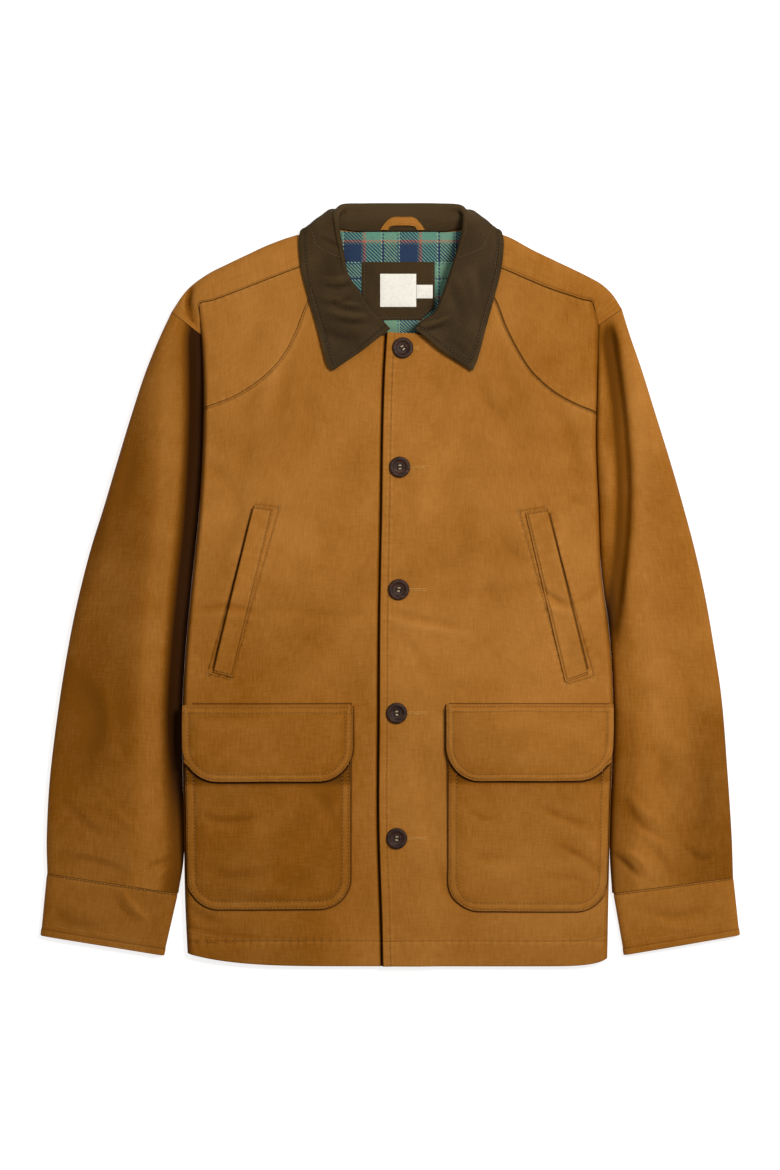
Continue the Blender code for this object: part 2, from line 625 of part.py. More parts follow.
def back_upper(start, outline, outline_z):
    """The back's rows from there to the shoulders' outline and the back neckline, rounded up at
    the end."""
    length = np.linalg.norm(outline - start[:, :2], axis=1)
    roll = TUBE_ROLL * SHOULDER["right"][3][4]
    share = np.concatenate([np.linspace(0, 1, 6)[1:, None] * (1 - roll / length),
                            1 - ROLL_STEPS[2::-1, None] * roll / length])
    plan = start[None, :, :2] * (1 - share[..., None]) + outline[None] * share[..., None]
    ground = over_the_fall(plan[..., 0], plan[..., 1])
    end = np.maximum(outline_z, over_the_fall(outline[:, 0], outline[:, 1]))
    z = ground + (end - ground) * (1 - rounding((1 - share) * length, roll))
    return np.concatenate([plan, z[..., None]], axis=-1)


def over_shoulder(outline, seam, height, seam_z):
    """The back's rows over one shoulder, from its outline down to the forward shoulder seam."""
    run = np.linalg.norm(seam - outline, axis=1)
    roll = TUBE_ROLL * height / run
    share = np.stack([ROLL_STEPS[1] * roll, ROLL_STEPS[2] * roll, roll, (1 + roll) / 2, roll * 0 + 1])
    plan = outline[None] * (1 - share[..., None]) + seam[None] * share[..., None]
    top = height + (seam_z - height) * share**2
    top = top - fold_depth(plan[..., 0], plan[..., 1]) * (1 - share**4)
    outline_z = TUBE_SEAM * height
    z = outline_z + (top - outline_z) * rounding(share * run, TUBE_ROLL * height)
    return np.concatenate([plan, z[..., None]], axis=-1)


def back_panel():
    """The back in one piece. Columns run from side to side, rows from the hem to the shoulders and on
    over them. The columns between the two neck points end at the back neckline. Also returns which
    cells are cloth, the number of columns at each shoulder, and the row of the outline."""
    right, left = shoulder_columns("right"), [part[::-1] for part in shoulder_columns("left")]
    wide = len(SHOULDER["right"])
    neck_x = np.linspace(-64, 64, 7)
    neck_up = BACK_NECK_UP + 3.0 * ease((np.abs(neck_x) - 40) / 30.0)
    neck_z = np.interp(np.abs(neck_x), [40, 60, 78], [FALL_UNDER_BACK, 4.7, 7.4])
    outline = np.concatenate([right[0], np.stack([neck_x, neck_up], 1), left[0]])
    outline_z = np.concatenate([TUBE_SEAM * right[2], neck_z, TUBE_SEAM * left[2]])
    lower = back_lower(wide, neck_x)
    upper = back_upper(lower[-1], outline, outline_z)
    right_over, left_over = over_shoulder(*right), over_shoulder(*left)
    no_cloth = np.repeat(upper[-1:, wide:-wide], len(right_over), axis=0)
    grid = np.concatenate([lower, upper, np.concatenate([right_over, no_cloth, left_over], axis=1)])
    last = len(lower) + len(upper) - 1
    present = np.ones((grid.shape[0] - 1, grid.shape[1] - 1), bool)
    present[last:, wide - 1:1 - wide] = False
    return grid, present, wide, last


back, back_present, shoulder_count, outline_row = back_panel()
back_inner = moved_in(back, CLOTH, up=False, present=back_present)
wall("back", back, back_inner, CANVAS, present=back_present)


# ---- collar ----
def neck_seam(side):
    """Middle of the cloth's edge along half the neck: front, yoke, shoulder, back."""
    def middle(name, rows, columns):
        return (grids[name][rows, columns] + inner_grids[name][rows, columns]) / 2

    front = grids["front_" + side][-1]
    peak = int(np.argmax(front[:, 1]))
    start = int(np.argmin(np.abs(front[:, 0] - SIGN[side] * NECKLINE[side][1][0])))
    mid_back = (back + back_inner) / 2
    middle_column = back.shape[1] // 2
    if side == "right":
        column = shoulder_count - 1
        neckline = mid_back[outline_row, column:middle_column + 1]
    else:
        column = back.shape[1] - shoulder_count
        neckline = mid_back[outline_row, column:middle_column - 1:-1]
    parts = [
        middle("front_" + side, -1, slice(start, peak, -1)),
        middle("yoke_" + side, slice(1, None), -1),
        mid_back[: outline_row: -1, column],
        neckline,
    ]
    return np.concatenate(parts)


def collar_grid():
    """The collar's middle surface. Each section runs from the neck seam up the stand, round the roll
    and down the fall to its free edge. Sections are numbered from the right front end, over the
    centre back, to the left front end."""
    flip = np.array([1, -1, 1, 1, 1, -1, 1, 1, -1, 1, 1])
    right = np.array(COLLAR["right"], float) * flip
    left = np.array(COLLAR["left"], float)[::-1][1:]
    last_right = len(right) - 1
    table = np.concatenate([right, left])
    at = np.linspace(0, len(table) - 1, 37)
    share = np.interp(at, np.arange(len(table)), table[:, 0])
    seam_right, seam_left = along(neck_seam("right"), share), along(neck_seam("left"), share)
    seams = np.where((at <= last_right)[:, None], seam_right, seam_left)
    rows = curve(numbered(table), at)
    roll, lean = rows[:, 1:4], np.radians(rows[:, 4:5])
    middle, edge = rows[:, 5:8], rows[:, 8:11]
    lowest = COLLAR_CLOTH / 2
    middle[:, 2], edge[:, 2] = np.maximum(middle[:, 2], lowest), np.maximum(edge[:, 2], lowest)
    tangent = np.gradient(roll[:, :2], axis=0)
    tangent /= np.linalg.norm(tangent, axis=1, keepdims=True)
    into_neck = np.stack([tangent[:, 1], -tangent[:, 0], tangent[:, 0] * 0], axis=1)
    upward = np.array([0, 0, 1.0])
    point = np.cos(lean) * into_neck + np.sin(lean) * upward
    to_fall = np.cos(lean) * upward - np.sin(lean) * into_neck
    r = ROLL_RADIUS
    tip = roll - point * COLLAR_CLOTH / 2
    under = tip - point * 3.6 * r - to_fall * r
    stand_top = tip - point * 1.2 * r - to_fall * r
    turn_in = tip - point * 0.3 * r - to_fall * 0.75 * r
    turn_out = tip - point * 0.3 * r + to_fall * 0.75 * r
    fall_top = tip - point * 1.2 * r + to_fall * r
    toward = under - seams
    start = seams + toward / np.linalg.norm(toward, axis=1, keepdims=True) * STAND_GAP
    fall = fall_top + (middle - fall_top) * 0.4 + to_fall * 0.8
    stations = [start, (start + under) / 2, under, stand_top, turn_in, tip, turn_out, fall_top,
                fall, middle, (middle + edge) / 2, edge]
    return np.stack(stations, axis=1)


collar = collar_grid()
collar_normal = corner_normals(collar, np.ones((collar.shape[0] - 1, collar.shape[1] - 1), bool))
collar_faces = (collar + collar_normal * COLLAR_CLOTH / 2, collar - collar_normal * COLLAR_CLOTH / 2)
collar_piece = wall("collar", collar_faces[0], collar_faces[1], COLLAR_CANVAS)


# ---- what lies inside the neck ----
def on_top(pieces, x, u, highest=80.0):
    """Height of the topmost face of the pieces under each plan point."""
    bpy.context.view_layer.update()
    trees = [BVHTree.FromObject(piece, bpy.context.evaluated_depsgraph_get()) for piece in pieces]
    height = np.zeros(x.shape)
    for index in np.ndindex(x.shape):
        spot = place([x[index], u[index], highest])
        hits = [tree.ray_cast(Vector(spot), Vector((0, 0, -1)))[0] for tree in trees]
        found = [hit.z * 1000 for hit in hits if hit is not None]
        height[index] = max(found) if found else 0.0
    return height


def patch(name, sections, columns, base, thickness, finish):
    """A flat piece that follows what it lies on, with its under face SEAM above the base. Each section
    is its height over the hem, left end and right end."""
    sections = np.array(sections, float)
    share = np.linspace(0, 1, columns)[None, :]
    x = sections[:, 1:2] * (1 - share) + sections[:, 2:3] * share
    u = sections[:, :1] + 0 * share
    under = np.stack([x, u, base(x, u) + SEAM], axis=-1)
    return wall(name, under + [0, 0, thickness], under, finish)


def back_inside(x, u):
    """Height of the back's inner face in the neck."""
    return over_the_fall(x, u) + CLOTH


# The lining is the back's own inner points moved in, from the neckline down past the neck opening.
lining_rows = slice(outline_row - 9, outline_row + 1)
lining_columns = slice(shoulder_count, back.shape[1] - shoulder_count)
into_jacket = corner_normals(back_inner, back_present)[lining_rows, lining_columns]
into_jacket *= np.sign(into_jacket[..., 2:].mean())
lining_under = back_inner[lining_rows, lining_columns] + into_jacket * SEAM
wall("lining", lining_under + into_jacket * THIN_CLOTH, lining_under, FLANNEL)


def lining_inside(x, u):
    return back_inside(x, u) + SEAM + THIN_CLOTH


patch("neck_patch", [(646, -25.5, 20.5), (658, -38.5, 33.5), (680, -39, 34), (704, -39, 34)], 5,
      lining_inside, THIN_CLOTH, COLLAR_CANVAS)


def patch_inside(x, u):
    return lining_inside(x, u) + SEAM + THIN_CLOTH


patch("label", [(659, -20.5, 15.5), (692, -20.5, 15.5)], 2, patch_inside, LABEL_CLOTH, WOVEN_LABEL)
patch("size_tab", [(667.5, 16.0, 32.0), (681, 16.0, 32.0)], 2, patch_inside, LABEL_CLOTH, WOVEN_LABEL)


def hanger_loop():
    """A flat band in the shape of a bracket, on the stand at the back neck, its two ends at the seam."""
    share = np.linspace(0, 1, 13)
    outside = smooth_line([(-21, 738), (-16, 743), (-9, 748.5), (2, 749), (13, 748.5), (20, 742.5),
                           (24.5, 738)], share)
    inside = smooth_line([(-12, 738), (-10.8, 738.8), (-7, 739.6), (2, 739.8), (10.5, 739.6),
                          (14, 738.8), (15.5, 738)], share)
    plan = np.stack([outside, (outside + inside) / 2, inside], axis=1)
    low = on_top([collar_piece], plan[..., 0], plan[..., 1]) + LAY
    under = np.concatenate([plan, low[..., None]], axis=-1)
    wall("hanger_loop", under + [0, 0, LOOP_CLOTH], under, CANVAS)


hanger_loop()


# ---- pockets on the fronts ----
def rounded_bottom(side, size, columns):
    """Distances in from the side edge for a pocket's columns, with the height of its bottom at each.
    The two lower corners are quarter circles."""
    inset, far, bottom, top = size
    edge = float(edge_of(side, (bottom + top) / 2)[0])
    width = edge - far - inset
    corner = CORNER_RADIUS * (1 - np.cos(np.radians([0, 22, 45, 68, 90])))
    across = np.concatenate([corner, np.linspace(CORNER_RADIUS, width - CORNER_RADIUS, columns)[1:-1],
                             width - corner[::-1]])
    from_side = np.minimum(across, width - across)
    inside = np.clip(1 - from_side / CORNER_RADIUS, 0, 1)
    return across + inset, bottom + CORNER_RADIUS * (1 - np.sqrt(1 - inside**2))


def front_cover(side, size, rows, columns):
    """Grid of a pocket or flap on the front's surface, with its normals and each point's share up it
    and across it. `rows` are the shares up it."""
    inset, far, _, top = size
    across, low = rounded_bottom(side, size, columns)
    t = np.asarray(rows, float)[:, None]
    u = low[None] * (1 - t) + top * t
    local_edge = edge_of(side, u)[0]
    reach = (across - inset) / (across[-1] - inset)
    base = front_surface(side, inset + (local_edge - far - inset) * reach[None], u)
    normal = corner_normals(base, np.ones((base.shape[0] - 1, base.shape[1] - 1), bool))
    normal *= np.sign(normal[..., 2].mean())
    return base, normal, t + 0 * u, reach[None] + 0 * u


def bellow(height, across):
    """Soft swell of a pocket: nothing at the sewn sides, `height` in the middle."""
    return height * np.minimum(ease(across / 0.12), ease((1 - across) / 0.12))


for side in ("right", "left"):
    rows = [0, 0.1, 0.25, 0.5, 0.75, 1]
    base, normal, share_up, share_across = front_cover(side, PATCH_POCKET[side], rows, 6)
    lift = LAY + bellow(POCKET_SWELL, share_across) * ease(share_up / 0.2)
    inner_face = base + normal * lift[..., None]
    wall("pocket_" + side, inner_face + normal * CLOTH, inner_face, CANVAS)

    bottom, top, mouth = POCKET_FLAP[side][2], POCKET_FLAP[side][3], PATCH_POCKET[side][3]
    over_mouth = (mouth + 1.5 - bottom) / (top - bottom)
    rows = [0, 0.25, 0.55, over_mouth, 1]
    base, normal, share_up, share_across = front_cover(side, POCKET_FLAP[side], rows, 6)
    over_pocket = 1 - ease((share_up - over_mouth) / (1 - over_mouth))
    lift = LAY + (bellow(POCKET_SWELL, share_across) + CLOTH + LAY * 1.5) * over_pocket
    inner_face = base + normal * lift[..., None]
    wall("flap_" + side, inner_face + normal * CLOTH, inner_face, CANVAS)

    corners = np.array([(SIGN[side] * p, q) for p, q in WELT[side]])
    s, t = np.meshgrid(np.linspace(0, 1, 4), np.linspace(0, 1, 11))
    top = corners[0] * (1 - s[..., None]) + corners[1] * s[..., None]
    foot = corners[3] * (1 - s[..., None]) + corners[2] * s[..., None]
    plan = top * (1 - t[..., None]) + foot * t[..., None]
    gape = WELT_GAPE * ease((s - 0.3) / 0.7) * np.minimum(ease(t / 0.15), ease((1 - t) / 0.15))
    height = front_height(side, plan[..., 0], plan[..., 1]) + LAY + gape
    inner_face = np.concatenate([plan, height[..., None]], axis=-1)
    wall("welt_" + side, inner_face + [0, 0, CLOTH], inner_face, CANVAS)


# ---- buttons ----
def button(name, centre, below):
    """A four-hole button: a turned disc with a raised rim and a dished middle, its holes cut through."""
    half = BUTTON_ACROSS / 2
    profile = [(0, 0.0), (half * 0.7, 0.0), (half, BUTTON_THICK * 0.5), (half * 0.93, BUTTON_THICK * 0.9),
               (half * 0.82, BUTTON_THICK), (half * 0.62, BUTTON_THICK * 0.67), (0, BUTTON_THICK * 0.56)]
    around = np.radians(np.arange(0, 360, 18))
    points = [(0, 0, 0.0)]
    for radius, z in profile[1:-1]:
        points += [(radius * math.cos(a), radius * math.sin(a), z) for a in around]
    points.append((0, 0, profile[-1][1]))
    n, rings, last = len(around), len(profile) - 2, len(points) - 1
    faces = [[0, 1 + (k + 1) % n, 1 + k] for k in range(n)]
    for ring in range(rings - 1):
        a, b = 1 + ring * n, 1 + (ring + 1) * n
        faces += [[a + k, a + (k + 1) % n, b + (k + 1) % n, b + k] for k in range(n)]
    a = 1 + (rings - 1) * n
    faces += [[a + k, a + (k + 1) % n, last] for k in range(n)]
    offset = np.array([centre[0], centre[1], below])
    disc = solid(name, np.array(points) + offset, faces, HORN)
    for k in range(4):
        angle = math.radians(45 + 90 * k)
        spot = place(offset + [HOLE_CIRCLE * math.cos(angle), HOLE_CIRCLE * math.sin(angle), 1.0])
        bpy.ops.mesh.primitive_cylinder_add(vertices=6, radius=BUTTON_HOLE / 2000, depth=0.012, location=spot)
        drill = bpy.context.object
        drill.name = f"{name}_drill_{k}"
        drill.hide_render = True
        drill.display_type = "WIRE"
        cut = disc.modifiers.new(f"hole {k}", "BOOLEAN")
        cut.operation = "DIFFERENCE"
        cut.solver = "EXACT"
        cut.object = drill


fronts = [bpy.data.objects[name] for name in ("front_left", "front_right")]
ring = np.radians(np.arange(0, 360, 30))
for number, (x, u) in enumerate(BUTTON_SPOTS, 1):
    reach = BUTTON_ACROSS * 0.3
    under = on_top(fronts, x + reach * np.cos(ring), u + reach * np.sin(ring))
    button(f"button_{number}", (x, u), float(under.max()) + SEAM)
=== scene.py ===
import math

import bpy
import numpy as np
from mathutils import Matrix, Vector
from mathutils.bvhtree import BVHTree


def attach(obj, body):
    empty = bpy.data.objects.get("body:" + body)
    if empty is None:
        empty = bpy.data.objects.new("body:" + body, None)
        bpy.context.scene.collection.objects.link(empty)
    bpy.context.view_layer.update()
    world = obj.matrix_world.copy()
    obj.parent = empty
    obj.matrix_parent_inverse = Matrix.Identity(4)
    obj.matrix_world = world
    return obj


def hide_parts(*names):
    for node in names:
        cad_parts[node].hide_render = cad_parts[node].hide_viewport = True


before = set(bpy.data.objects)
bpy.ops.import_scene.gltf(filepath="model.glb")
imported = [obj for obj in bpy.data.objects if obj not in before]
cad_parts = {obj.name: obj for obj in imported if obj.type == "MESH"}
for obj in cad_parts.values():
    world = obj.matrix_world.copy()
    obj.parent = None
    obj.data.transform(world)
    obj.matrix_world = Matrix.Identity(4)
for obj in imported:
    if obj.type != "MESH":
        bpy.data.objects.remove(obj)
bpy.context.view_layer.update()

# ---- The table, the light and the camera ----
# The jacket lies on a plain pale table and is seen from straight above with a long lens.
# One large soft light stands to the upper right, a weaker one to the left.
MM = 0.001
CAMERA_HEIGHT = 3.2  # metres over the cloth
FRAME_LONG_SIDE = 1.168  # metres of table that the picture's long side shows
FRAME_MIDDLE = (-0.0002, -0.0005)
CLOTH_LEVEL = 0.012  # the height that the scale holds at
TABLE_HALF, TABLE_LEVEL = 7, -0.0004


def linear(code):
    """An sRGB hex colour as linear light: each channel by the sRGB curve."""
    channel = np.array([int(code[i:i + 2], 16) for i in (1, 3, 5)]) / 255
    return (*np.where(channel <= 0.04045, channel / 12.92, ((channel + 0.055) / 1.055) ** 2.4), 1.0)


def joined(tree, made, inputs):
    """Fills a node's inputs. A socket, or a node's first output, is linked; the rest are values."""
    for name, value in inputs.items():
        value = value.outputs[0] if isinstance(value, bpy.types.Node) else value
        if isinstance(value, bpy.types.NodeSocket):
            tree.links.new(value, made.inputs[name])
        else:
            made.inputs[name].default_value = value
    return made


def node(tree, kind, inputs={}, stops=None, blend="LINEAR", **settings):
    """Adds a node with its inputs and settings. `stops` are a colour ramp's places and hex colours."""
    made = tree.nodes.new("ShaderNode" + kind)
    if stops:
        made.color_ramp.interpolation = blend
        for _ in stops[2:]:
            made.color_ramp.elements.new(0.5)
        for stop, (place_at, code) in zip(made.color_ramp.elements, stops):
            stop.position, stop.color = place_at, linear(code)
    for name, value in settings.items():
        setattr(made, name, value)
    return joined(tree, made, inputs)


def new_material(name):
    """A named material with its node tree, its shader, and its Object and UV coordinates."""
    made = bpy.data.materials.new(name)
    made.use_nodes = True
    tree = made.node_tree
    coordinates = node(tree, "TexCoord").outputs
    return made, tree, tree.nodes["Principled BSDF"], coordinates["Object"], coordinates["UV"]


def area_light(name, place_at, towards, across, watts, colour):
    lamp = bpy.data.lights.new(name, "AREA")
    lamp.shape, lamp.size, lamp.energy, lamp.color = "DISK", across, watts, colour
    made = bpy.data.objects.new(name, lamp)
    bpy.context.scene.collection.objects.link(made)
    made.location = place_at
    made.rotation_mode = "QUATERNION"
    made.rotation_quaternion = (Vector(towards) - Vector(place_at)).to_track_quat("-Z", "Y")


scene = bpy.context.scene
scene.view_settings.view_transform = "Standard"
area_light("soft key light", (0.92, 0.62, 1.95), (0.05, 0, 0), 0.75, 44, (1.0, 0.985, 0.96))
area_light("weak fill light", (-0.9, 0.9, 2.1), (0, 0.1, 0), 1.4, 8, (0.97, 0.985, 1.0))
scene.world = bpy.data.worlds.new("studio")
scene.world.use_nodes = True
joined(scene.world.node_tree, scene.world.node_tree.nodes["Background"],
       {"Color": linear("#ffffff"), "Strength": 0.18})

lens = bpy.data.cameras.new("long lens")
lens.sensor_width, lens.lens = 36.0, 36.0 * CAMERA_HEIGHT / FRAME_LONG_SIDE
lens.clip_start, lens.clip_end = 0.1, 50.0
scene.camera = bpy.data.objects.new("camera", lens)
scene.collection.objects.link(scene.camera)
scene.camera.location = (*FRAME_MIDDLE, CAMERA_HEIGHT + CLOTH_LEVEL)

table = bpy.data.meshes.new("pale table")
table.from_pydata([(x * TABLE_HALF, y * TABLE_HALF, TABLE_LEVEL) for x, y in ((-1, -1), (1, -1), (1, 1), (-1, 1))],
                  [], [[0, 1, 2, 3]])
table_top = bpy.data.objects.new("pale_table", table)
scene.collection.objects.link(table_top)
# Matt white paper, lit a little from within: it gives the eye an even ground that fades to white.
paper, tree, shader, _, _ = new_material("matt white paper")
joined(tree, shader, {"Base Color": linear("#a9a8a6"), "Roughness": 0.9,
                      "Emission Color": linear("#ffffff"), "Emission Strength": 0.8})
table.materials.append(paper)


# ---- Waxed cotton canvas, and the form of the jacket's body ----
# The shell is a tan cotton canvas dressed with wax: matt, with a soft sheen, cloudy where the wax has
# moved, lighter where the cloth is worn over seams, with painted shade in the stitched grooves and folds.
# Lengths are in millimetres: x across from the centre line, the wearer's left being +x, u up from the
# hem, z up from the table.
CENTRE_TO_MIDDLE, HALF_LENGTH = 10.5, 381.5
CLOTH = 2.0
WALL = CLOTH * 0.85  # thickness as built, less the seam turnings
LAY = 0.4  # air between two layers
OVERLAP = 30.0
TUBE_SEAM, TUBE_ROLL = 0.48, 0.75  # height of a flat tube's folded edge, and its reach, as shares
THREADS = 1.1  # weave spacing; the real 0.5 mm is too fine to show, so it is drawn coarser
SIGN = {"right": -1.0, "left": 1.0}
FAR = 40.0  # mm from any sewing

BODY_SIDE = {  # up, edge, seam height, rounding
    "right": [(0, 212.5, 5, 8), (61, 215.5, 5, 8), (146, 217, 5, 7), (268, 218, 5, 6),
              (317, 215, 5, 6), (382, 209, 5, 6), (451, 202, 5, 6), (518, 198, 5, 6),
              (582, 197.2, 5.5, 6), (614, 198.2, 7, 6), (631, 199.2, 9.5, 6), (646, 200.2, 12.5, 6),
              (661, 201, 15.4, 6)],
    "left": [(0, 206.5, 5, 8), (51, 207.5, 5, 8), (146, 209.5, 5, 7), (268, 212.5, 5, 7),
             (340, 208, 5.5, 7), (390, 201, 8, 7), (461, 197.5, 11, 6), (521, 195, 12, 6),
             (581, 196, 13, 6), (621, 197, 14, 6), (640, 197, 14.8, 6), (663, 191, 15.6, 7)],
}
BODY_HEIGHT = [(0, 9, 11), (40, 10.2, 14.5), (150, 12, 19.5), (300, 13, 21.5), (450, 13.5, 20.5),
               (560, 14, 18.5), (640, 14.5, 16.5), (760, 15, 15.5)]  # up, centre, sides
FRONT_EDGE = [(0, -18), (30, -18.6), (149, -22), (246, -21.5), (354, -21), (466, -19), (537, -18),
              (589, -16.5), (633, -14)]
# folds and creases: from (x, up) through a middle to (x, up), half width, depth; a ridge has depth < 0
CREASES = [
    # left sleeve: the valley that runs down from the shoulder beside the armhole
    ((207, 652), (212, 616), (217, 581), (221, 546), (224, 506), (225, 466), (223, 426), (219, 386),
     (215, 350), (213, 300), 9.5, 8.5),
    ((203, 560), (206, 535), (203, 505), 5, 1.3),
    ((201, 520), (208, 470), (203, 430), 6, -1.5),
    # pucker at the right sleeve's head
    ((-207, 684), (-212, 664), (-206, 646), 4, 5),
    ((-209, 678), (-213, 656), (-203, 636), 2.2, 3),
    ((-224, 655), (-216, 651), (-203, 640), 2.4, 1.2),
    # waist, wearer's left
    ((-16, 355), (22, 346), (62, 338), 3, 1.9),
    ((-16, 347), (25, 338), (70, 331), 4.5, -1.3),
    ((40, 364), (92, 374), (143, 379), 8, 1.5),
    ((136, 381), (154, 366), (170, 360), 2.6, 2.6),
    ((136, 371), (152, 357), (170, 351), 3.5, -1.4),
    ((170, 361), (186, 369), (199, 382), 3.5, 2),
    ((82, 380), (92, 368), (98, 358), 5, 1.1),
    # waist, wearer's right
    ((-207, 356), (-170, 359), (-140, 351), 2.8, 2.3),
    ((-205, 348), (-172, 350), (-134, 345), 4, -1.2),
    ((-152, 352), (-120, 357), (-70, 352), 4, 0.9),
    ((-110, 356), (-70, 350), (-20, 354), 4, 1),
    # chest, wearer's right: soft folds fanning down from the shoulder
    ((-196, 505), (-184, 494), (-170, 480), 7, 1.6),
    ((-140, 650), (-150, 620), (-166, 590), 9, 1.4),
    ((-112, 640), (-136, 560), (-160, 520), 8, -1.1),
    ((-110, 612), (-118, 570), (-124, 540), 6, 1.3),
    ((-98, 590), (-92, 540), (-104, 500), 8, 1.2),
    ((-150, 540), (-160, 480), (-168, 430), 9, 1.5),
    ((-172, 430), (-178, 400), (-168, 376), 6, 1),
    ((-62, 560), (-58, 500), (-66, 440), 13, 1.2),
    ((-84, 470), (-78, 410), (-90, 372), 9, 0.9),
    # chest, wearer's left
    ((74, 592), (88, 560), (108, 545), 6, 1.6),
    ((96, 620), (108, 585), (126, 560), 7, 1.2),
    ((148, 560), (168, 530), (178, 480), 8, 2),
    ((160, 470), (178, 462), (190, 462), 4, 0.9),
    ((104, 516), (120, 518), (128, 514), 3, 0.8),
    ((78, 536), (98, 522), (126, 512), 2.2, -0.35),
    ((24, 606), (30, 580), (22, 552), 9, 1.1),
    ((60, 520), (52, 470), (60, 420), 13, 1.1),
    ((10, 520), (6, 470), (14, 420), 7, 0.8),
    ((96, 440), (104, 420), (126, 400), 7, 0.9),
    ((150, 468), (160, 440), (150, 400), 5, -0.7),
    # below the waist
    ((-15, 340), (14, 316), (30, 280), 6, 1.1),
    ((30, 262), (22, 190), (36, 110), 9, 1.3),
    ((36, 110), (48, 70), (70, 62), 5, 1.5),
    ((-8, 34), (0, 18), (4, 4), 3, 0.9),
    ((-140, 330), (-100, 322), (-60, 330), 10, 0.9),
    ((-28, 300), (-38, 270), (-26, 240), 6, 0.9),
    ((-212, 60), (-196, 50), (-178, 44), 4, 1.4),
    # right sleeve
    ((-300, 480), (-304, 420), (-330, 340), 9, 1.3),
    ((-262, 560), (-268, 500), (-288, 430), 8, 1.2),
    ((-330, 300), (-300, 250), (-318, 180), 10, 1.2),
    ((-292, 300), (-290, 240), (-276, 190), 7, -0.9),
    ((-340, 170), (-310, 140), (-290, 132), 5, 1.2),
    ((-300, 170), (-278, 150), (-262, 140), 4, -0.8),
    ((-262, 88), (-250, 100), (-232, 108), 2.6, 2.2),
    ((-252, 80), (-244, 90), (-230, 100), 2.4, -1.4),
    ((-340, 112), (-300, 104), (-270, 92), 4, 1),
    ((-278, 78), (-268, 62), (-252, 46), 2.6, -1.3),
    ((-286, 72), (-276, 56), (-262, 44), 3.5, 1.2),
    ((-346, 60), (-330, 44), (-300, 40), 6, 1),
    # left sleeve
    ((224, 165), (240, 142), (262, 128), 3.4, 2.2),
    ((226, 176), (244, 154), (264, 142), 4, -1.2),
    ((212, 113), (224, 104), (238, 90), 2.6, 3),
    ((222, 118), (238, 108), (250, 88), 3.4, -1.8),
    ((236, 130), (256, 112), (270, 92), 5, 1.4),
    ((284, 120), (300, 108), (312, 112), 3.5, 1.5),
    ((250, 230), (262, 200), (258, 170), 8, 1.3),
    ((240, 290), (252, 260), (254, 230), 6, -0.8),
    ((262, 330), (280, 300), (292, 250), 9, 1),
    ((300, 210), (306, 170), (298, 130), 8, 0.9),
    ((240, 60), (270, 50), (310, 58), 6, 1.3),
    ((250, 44), (290, 38), (326, 48), 5, -0.9),
]

def place(points):
    """Garment millimetres to metres about the middle of the outline."""
    return (np.asarray(points, float) + [CENTRE_TO_MIDDLE, -HALF_LENGTH, 0.0]) * MM


def mirrored(side, points):
    """Plan points of one side, from distances to the centre line."""
    return np.asarray(points, float) * [SIGN[side], 1.0]


def curve(rows, at):
    """A smooth curve through rows whose first column is the place along it: cubic pieces whose
    slopes come from the neighbouring rows."""
    rows = np.asarray(rows, float)
    where, value = rows[:, 0], rows[:, 1:]
    slope = np.gradient(value, where, axis=0)
    at = np.clip(np.asarray(at, float), where[0], where[-1])
    k = np.clip(np.searchsorted(where, at, side="right") - 1, 0, len(rows) - 2)
    width = (where[k + 1] - where[k])[..., None]
    t = (at - where[k])[..., None] / width
    keep = (1 + 2 * t) * (1 - t) ** 2 * value[k] + t**2 * (3 - 2 * t) * value[k + 1]
    return keep + width * (t * (1 - t) ** 2 * slope[k] - t**2 * (1 - t) * slope[k + 1])


def through(points, count, first=0, last=None):
    """A smooth curve through the points, at `count` even places from one of them to another."""
    last = len(points) - 1 if last is None else last
    return curve([(i, *point) for i, point in enumerate(points)], np.linspace(first, last, count))


def ease(t):
    """Smooth step: 3 t squared less 2 t cubed, from 0 to 1."""
    t = np.clip(t, 0.0, 1.0)
    return t * t * (3 - 2 * t)


def bell(away, width):
    """1 on a line and falling off on both sides: e to the power of minus (away / width) squared."""
    return np.exp(-((away / width) ** 2))


def rounding(distance, reach):
    """Height share of a rounded edge: a quarter ellipse, 0 at the edge and 1 at `reach`."""
    return np.sqrt(1 - np.clip(1 - distance / reach, 0.0, 1.0) ** 2)


def to_end(share):
    """How far a share is from the nearer end, 0 or 1."""
    return np.minimum(share, 1 - share)


def size_of(step, keep=False):
    """Lengths of vectors: the root of the sum of their squares."""
    return np.linalg.norm(step, axis=-1, keepdims=keep)


def running(points):
    """Length along a polyline up to each of its points."""
    return np.concatenate([[0], np.cumsum(size_of(np.diff(points, axis=0)))])


def along(points, share):
    """Points at shares of a polyline's length."""
    points = np.asarray(points, float)
    run = running(points)
    return np.stack([np.interp(np.asarray(share) * run[-1], run, column) for column in points.T], axis=-1)


def near(line, x, u, reach=FAR):
    """Distance from each point to a bent line, and how far along the line that is, by the closest
    point of each straight piece. Points further than `reach` get a distance of 1000."""
    line = np.asarray(line, float)
    x, u = np.broadcast_arrays(x, u)
    distance, at = np.full(x.shape, 1000.0), np.zeros(x.shape)
    low, high = line.min(0) - reach, line.max(0) + reach
    close = (x > low[0]) & (x < high[0]) & (u > low[1]) & (u < high[1])
    point = np.stack([x[close], u[close]], axis=-1)
    best, best_at, run = np.full(len(point), 1000.0), np.zeros(len(point)), 0.0
    for start, step in zip(line[:-1], np.diff(line, axis=0)):
        length = np.hypot(*step)
        t = np.clip((point - start) @ step / max(length, 1e-9) ** 2, 0, 1)
        gap = size_of(point - start - t[:, None] * step)
        best, best_at = np.where(gap < best, [gap, run + t * length], [best, best_at])
        run += length
    distance[close], at[close] = best, best_at
    return distance, at


